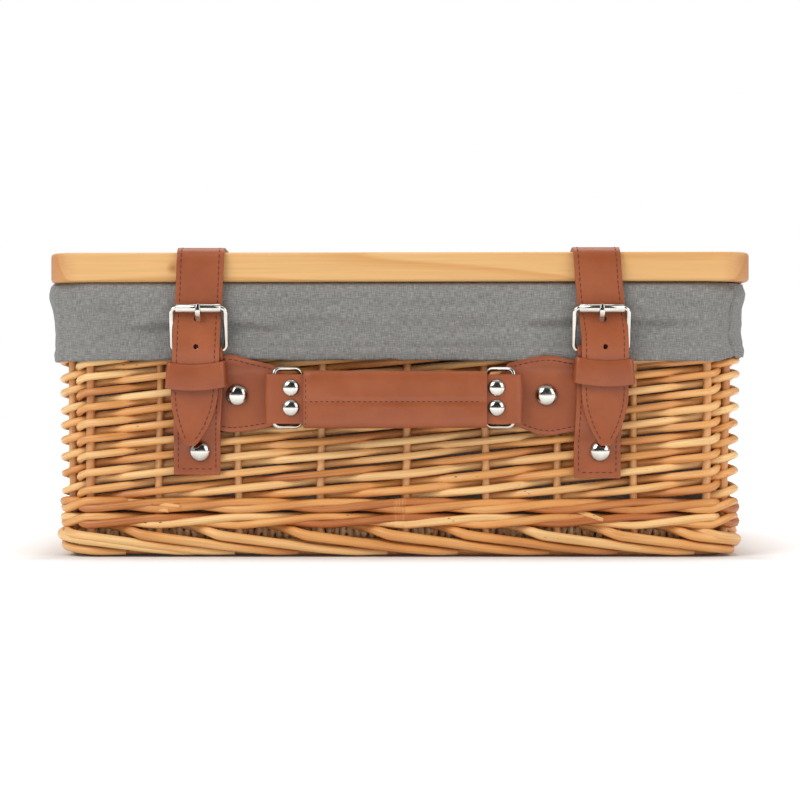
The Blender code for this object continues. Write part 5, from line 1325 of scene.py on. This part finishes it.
def make_handle():
    """The handle: a strap folded back round a ring at each end, in a sewn sleeve."""
    ends = [(0.0480, 0.0101), (0.0515, 0.0101), (0.0547, 0.0096), (0.0576, 0.0075), (0.0612, 0.0069), (0.0655, 0.0070), (0.0682, 0.0078)]
    ends += [(0.0693, 0.0098), (0.0682, 0.0118), (0.0655, 0.0125), (0.0620, 0.0125), (0.0560, 0.0125), (0.0500, 0.0125)]
    plan = [(-x, out) for x, out in ends] + [(x, 0.0125) for x in (-0.025, 0.0, 0.025)] + [(x, out) for x, out in reversed(ends)]
    path = [(HANDLE_X + x, FRONT - out, HANDLE_Z - 0.0007) for x, out in plan]
    course = Course(path, (0, 0, 1), 8)
    shape = flat_strip(course.length, lambda at: 0.0134, 0.0015, SHARES, int(course.length / 0.0016), 0.0004)
    course.bend(shape)
    finished("handle_belt", shape, LEATHER, "handle", ["handle_strap"], 50)
    shape = bmesh.new()
    half_long, half_high, back, deep = 0.0496, 0.0157, 0.0078, 0.0083

    def angle_at(up):
        """The angle on the front at which the sleeve's surface is this far up."""
        return math.asin(math.copysign((abs(up) / half_high) ** (1 / 0.34), up))

    angles = [math.tau * k / 56 for k in range(56)] + [angle_at(up) % math.tau for up in np.linspace(-0.0056, 0.0050, 12)]
    angles.sort()
    turns = len(angles)

    def around(x, angle):
        """The sleeve's surface at a place along it and an angle round it, from the front's middle."""
        c, s = math.cos(angle), math.sin(angle)
        swell = 1 - 0.10 * math.exp(-(1 - min(1, abs(x) / half_long)) / 0.03 * 0.7)
        up = math.copysign(abs(s) ** 0.34, s) * half_high
        out = math.copysign(abs(c) ** 0.62, c) * deep / 2
        ripple = 0.00028 * noise.noise(Vector((x * 55, up * 90, 1.0))) + 0.0002 * noise.noise(Vector((x * 160, up * 60, 3.0)))
        bulge = 1 + 0.06 * (1 - (x / half_long) ** 2)
        groove = 0.0005 * math.exp(-(((up + 0.0012) / 0.0012) ** 2)) + 0.0004 * math.exp(-(((x + 0.0484) / 0.0008) ** 2))
        y = FRONT - back - deep / 2 - out * swell * bulge - (ripple - groove if c > 0 else 0)
        high = (0.985 + 0.015 * swell) * (1 - 0.018 * float(ease(x, -0.01, half_long)))
        return Vector((HANDLE_X + 0.0008 + x, y, HANDLE_Z - 0.0009 + up * high))

    rings = [
        [shape.verts.new(around(-half_long + 2 * half_long * step / 60, angle)) for angle in angles]
        for step in range(61)
    ]
    for here, there in zip(rings, rings[1:]):
        for k in range(turns):
            shape.faces.new((here[k], here[(k + 1) % turns], there[(k + 1) % turns], there[k]))
    for ring in (rings[0], rings[-1]):
        inner = [
            shape.verts.new((v.co.x + math.copysign(0.004, HANDLE_X + 0.0008 - v.co.x), FRONT - back - deep / 2 + (v.co.y - FRONT + back + deep / 2) * 0.72,
                             HANDLE_Z - 0.0009 + (v.co.z - HANDLE_Z + 0.0009) * 0.93))
            for v in ring
        ]
        for k in range(turns):
            shape.faces.new((ring[k], ring[(k + 1) % turns], inner[(k + 1) % turns], inner[k]))
        shape.faces.new(inner)
    bmesh.ops.recalc_face_normals(shape, faces=shape.faces)
    finished("grip_sleeve", shape, GRIP_LEATHER, "handle", ["handle_grip"], 60)
    thread = bmesh.new()
    spots = [(around(x, angle_at(-0.0012)), (0.0010, 0.0002, 0.00028, 1)) for x in np.arange(-0.0484, 0.0462, 0.0029)]
    for up in np.arange(-0.0130, 0.0131, 0.0029):
        spots.append((around(-0.0484, angle_at(up)), (0.00028, 0.0002, 0.0010, 1)))
    for spot, scale in spots:
        place = Matrix.Translation(spot - Vector((0, 0.0001, 0))) @ Matrix.Diagonal(scale)
        bmesh.ops.create_uvsphere(thread, u_segments=6, v_segments=4, radius=1, matrix=place)
    finished("grip_stitches", thread, THREAD, "handle", smooth=0)


# Camera, floor and light


def make_floor():
    """A white floor that keeps the basket's shadow, and a white surround; its glow is dimmed towards the basket's foot,
    a painted shade round it.
    """
    shape = bmesh.new()
    bmesh.ops.create_grid(shape, x_segments=1, y_segments=1, size=8)
    mesh = bpy.data.meshes.new("floor")
    shape.to_mesh(mesh)
    shape.free()
    paper = bpy.data.materials.new("paper")
    paper.use_nodes = True
    tree = paper.node_tree
    shader = tree.nodes["Principled BSDF"]
    shader.inputs["Base Color"].default_value = grey(0.86)
    shader.inputs["Roughness"].default_value = 0.9
    shader.inputs["Specular IOR Level"].default_value = 0.1
    rays = add(tree, "ShaderNodeLightPath")
    shown = reckon(tree, "MAXIMUM", rays.outputs["Is Camera Ray"], rays.outputs["Is Glossy Ray"])
    folded = add(tree, "ShaderNodeVectorMath", {0: place_coords(tree)}, operation="ABSOLUTE").outputs["Vector"]
    past = add(tree, "ShaderNodeVectorMath", {0: folded, 1: (WALL_X, WALL_Y, 0)}, operation="SUBTRACT").outputs["Vector"]
    past = add(tree, "ShaderNodeVectorMath", {0: past, 1: (0, 0, 0)}, operation="MAXIMUM").outputs["Vector"]
    away = add(tree, "ShaderNodeVectorMath", {0: past}, operation="LENGTH").outputs["Value"]
    # painted shade: the glow is least at the basket's wall and grows with the distance out from it
    far = ramp(tree, away, (0.0, grey(SHADED_FLOOR_GLOW)), (0.02, grey(0.22)), (0.07, grey(0.45)), (0.5, grey(1.0)))
    glow = add(tree, "ShaderNodeEmission", {"Color": grey(1), "Strength": reckon(tree, "MULTIPLY", shown, far)})
    both = add(tree, "ShaderNodeAddShader", {0: shader.outputs["BSDF"], 1: glow.outputs["Emission"]})
    tree.links.new(both.outputs["Shader"], tree.nodes["Material Output"].inputs["Surface"])
    mesh.materials.append(paper)
    floor = bpy.data.objects.new("floor", mesh)
    bpy.context.scene.collection.objects.link(floor)


def make_world():
    """Plain ambient light, which the camera sees as white."""
    world = bpy.data.worlds.new("surround")
    bpy.context.scene.world = world
    world.use_nodes = True
    tree = world.node_tree
    background = tree.nodes["Background"]
    rays = add(tree, "ShaderNodeLightPath")
    set_level = reckon(tree, "MULTIPLY_ADD", rays.outputs["Is Camera Ray"], 1.0 - AMBIENT, AMBIENT)
    background.inputs["Color"].default_value = grey(1)
    tree.links.new(set_level, background.inputs["Strength"])


def make_lamp(name, place, aim, size, power):
    """A soft square lamp."""
    lamp = bpy.data.lights.new(name, "AREA")
    lamp.shape = "SQUARE"
    lamp.size = size
    lamp.energy = power
    made = bpy.data.objects.new(name, lamp)
    made.location = place
    made.rotation_euler = (Vector(aim) - Vector(place)).to_track_quat("-Z", "Y").to_euler()
    bpy.context.scene.collection.objects.link(made)


def make_dark_card():
    """A black card behind the camera, seen only in the metal, as a studio's dark end is."""
    shape = bmesh.new()
    bmesh.ops.create_grid(shape, x_segments=1, y_segments=1, size=0.5)
    place = Matrix.Translation((0.15, -2.6, 1.7)) @ Matrix.Rotation(math.pi / 2, 4, "X") @ Matrix.Diagonal((4.4, 3.0, 1, 1))
    bmesh.ops.transform(shape, matrix=place, verts=shape.verts)
    mesh = bpy.data.meshes.new("dark_card")
    shape.to_mesh(mesh)
    shape.free()
    black = bpy.data.materials.new("black_card")
    black.use_nodes = True
    black.node_tree.nodes["Principled BSDF"].inputs["Base Color"].default_value = grey(0.01)
    mesh.materials.append(black)
    card = bpy.data.objects.new("dark_card", mesh)
    card.visible_camera = False
    card.visible_diffuse = False
    card.visible_shadow = False
    bpy.context.scene.collection.objects.link(card)


def make_camera():
    """Level with the basket's upper half, straight in front of it."""
    lens = bpy.data.cameras.new("camera")
    lens.lens = 100
    lens.sensor_width = 36
    camera = bpy.data.objects.new("camera", lens)
    camera.location = (0, -1.356, 0.0863)
    camera.rotation_euler = (math.pi / 2, 0, 0)
    bpy.context.scene.collection.objects.link(camera)
    bpy.context.scene.camera = camera


AMBIENT = 0.50
# the floor's glow at the basket's wall, kept low as painted shade
SHADED_FLOOR_GLOW = 0.02

make_camera()
make_world()
make_floor()
make_dark_card()
make_lamp("key_lamp", (-1.3, -1.5, 1.5), (0, 0, 0.08), 1.3, 26)
make_lamp("fill_lamp", (1.5, -1.2, 0.9), (0, 0, 0.08), 1.3, 11)
make_lamp("top_lamp", (0.1, 0.6, 1.9), (0, 0, 0.1), 1.5, 16)
bpy.context.scene.view_settings.view_transform = "Standard"

make_rivets()
make_buckles()
make_rings()
make_lid()

STAKES = Round(STAKE_LINE_IN)
MARKS = stake_marks(STAKES)
make_side_weave(STAKES, MARKS)
make_wale(STAKES, MARKS)
make_cut_ends(STAKES)
make_stakes(STAKES, MARKS)
make_rim(STAKES, MARKS)
make_foot(STAKES, MARKS)
make_base()
make_cuff()
make_bag()
make_straps()
make_buckle_straps()
make_keepers()
make_anchors()
make_handle()
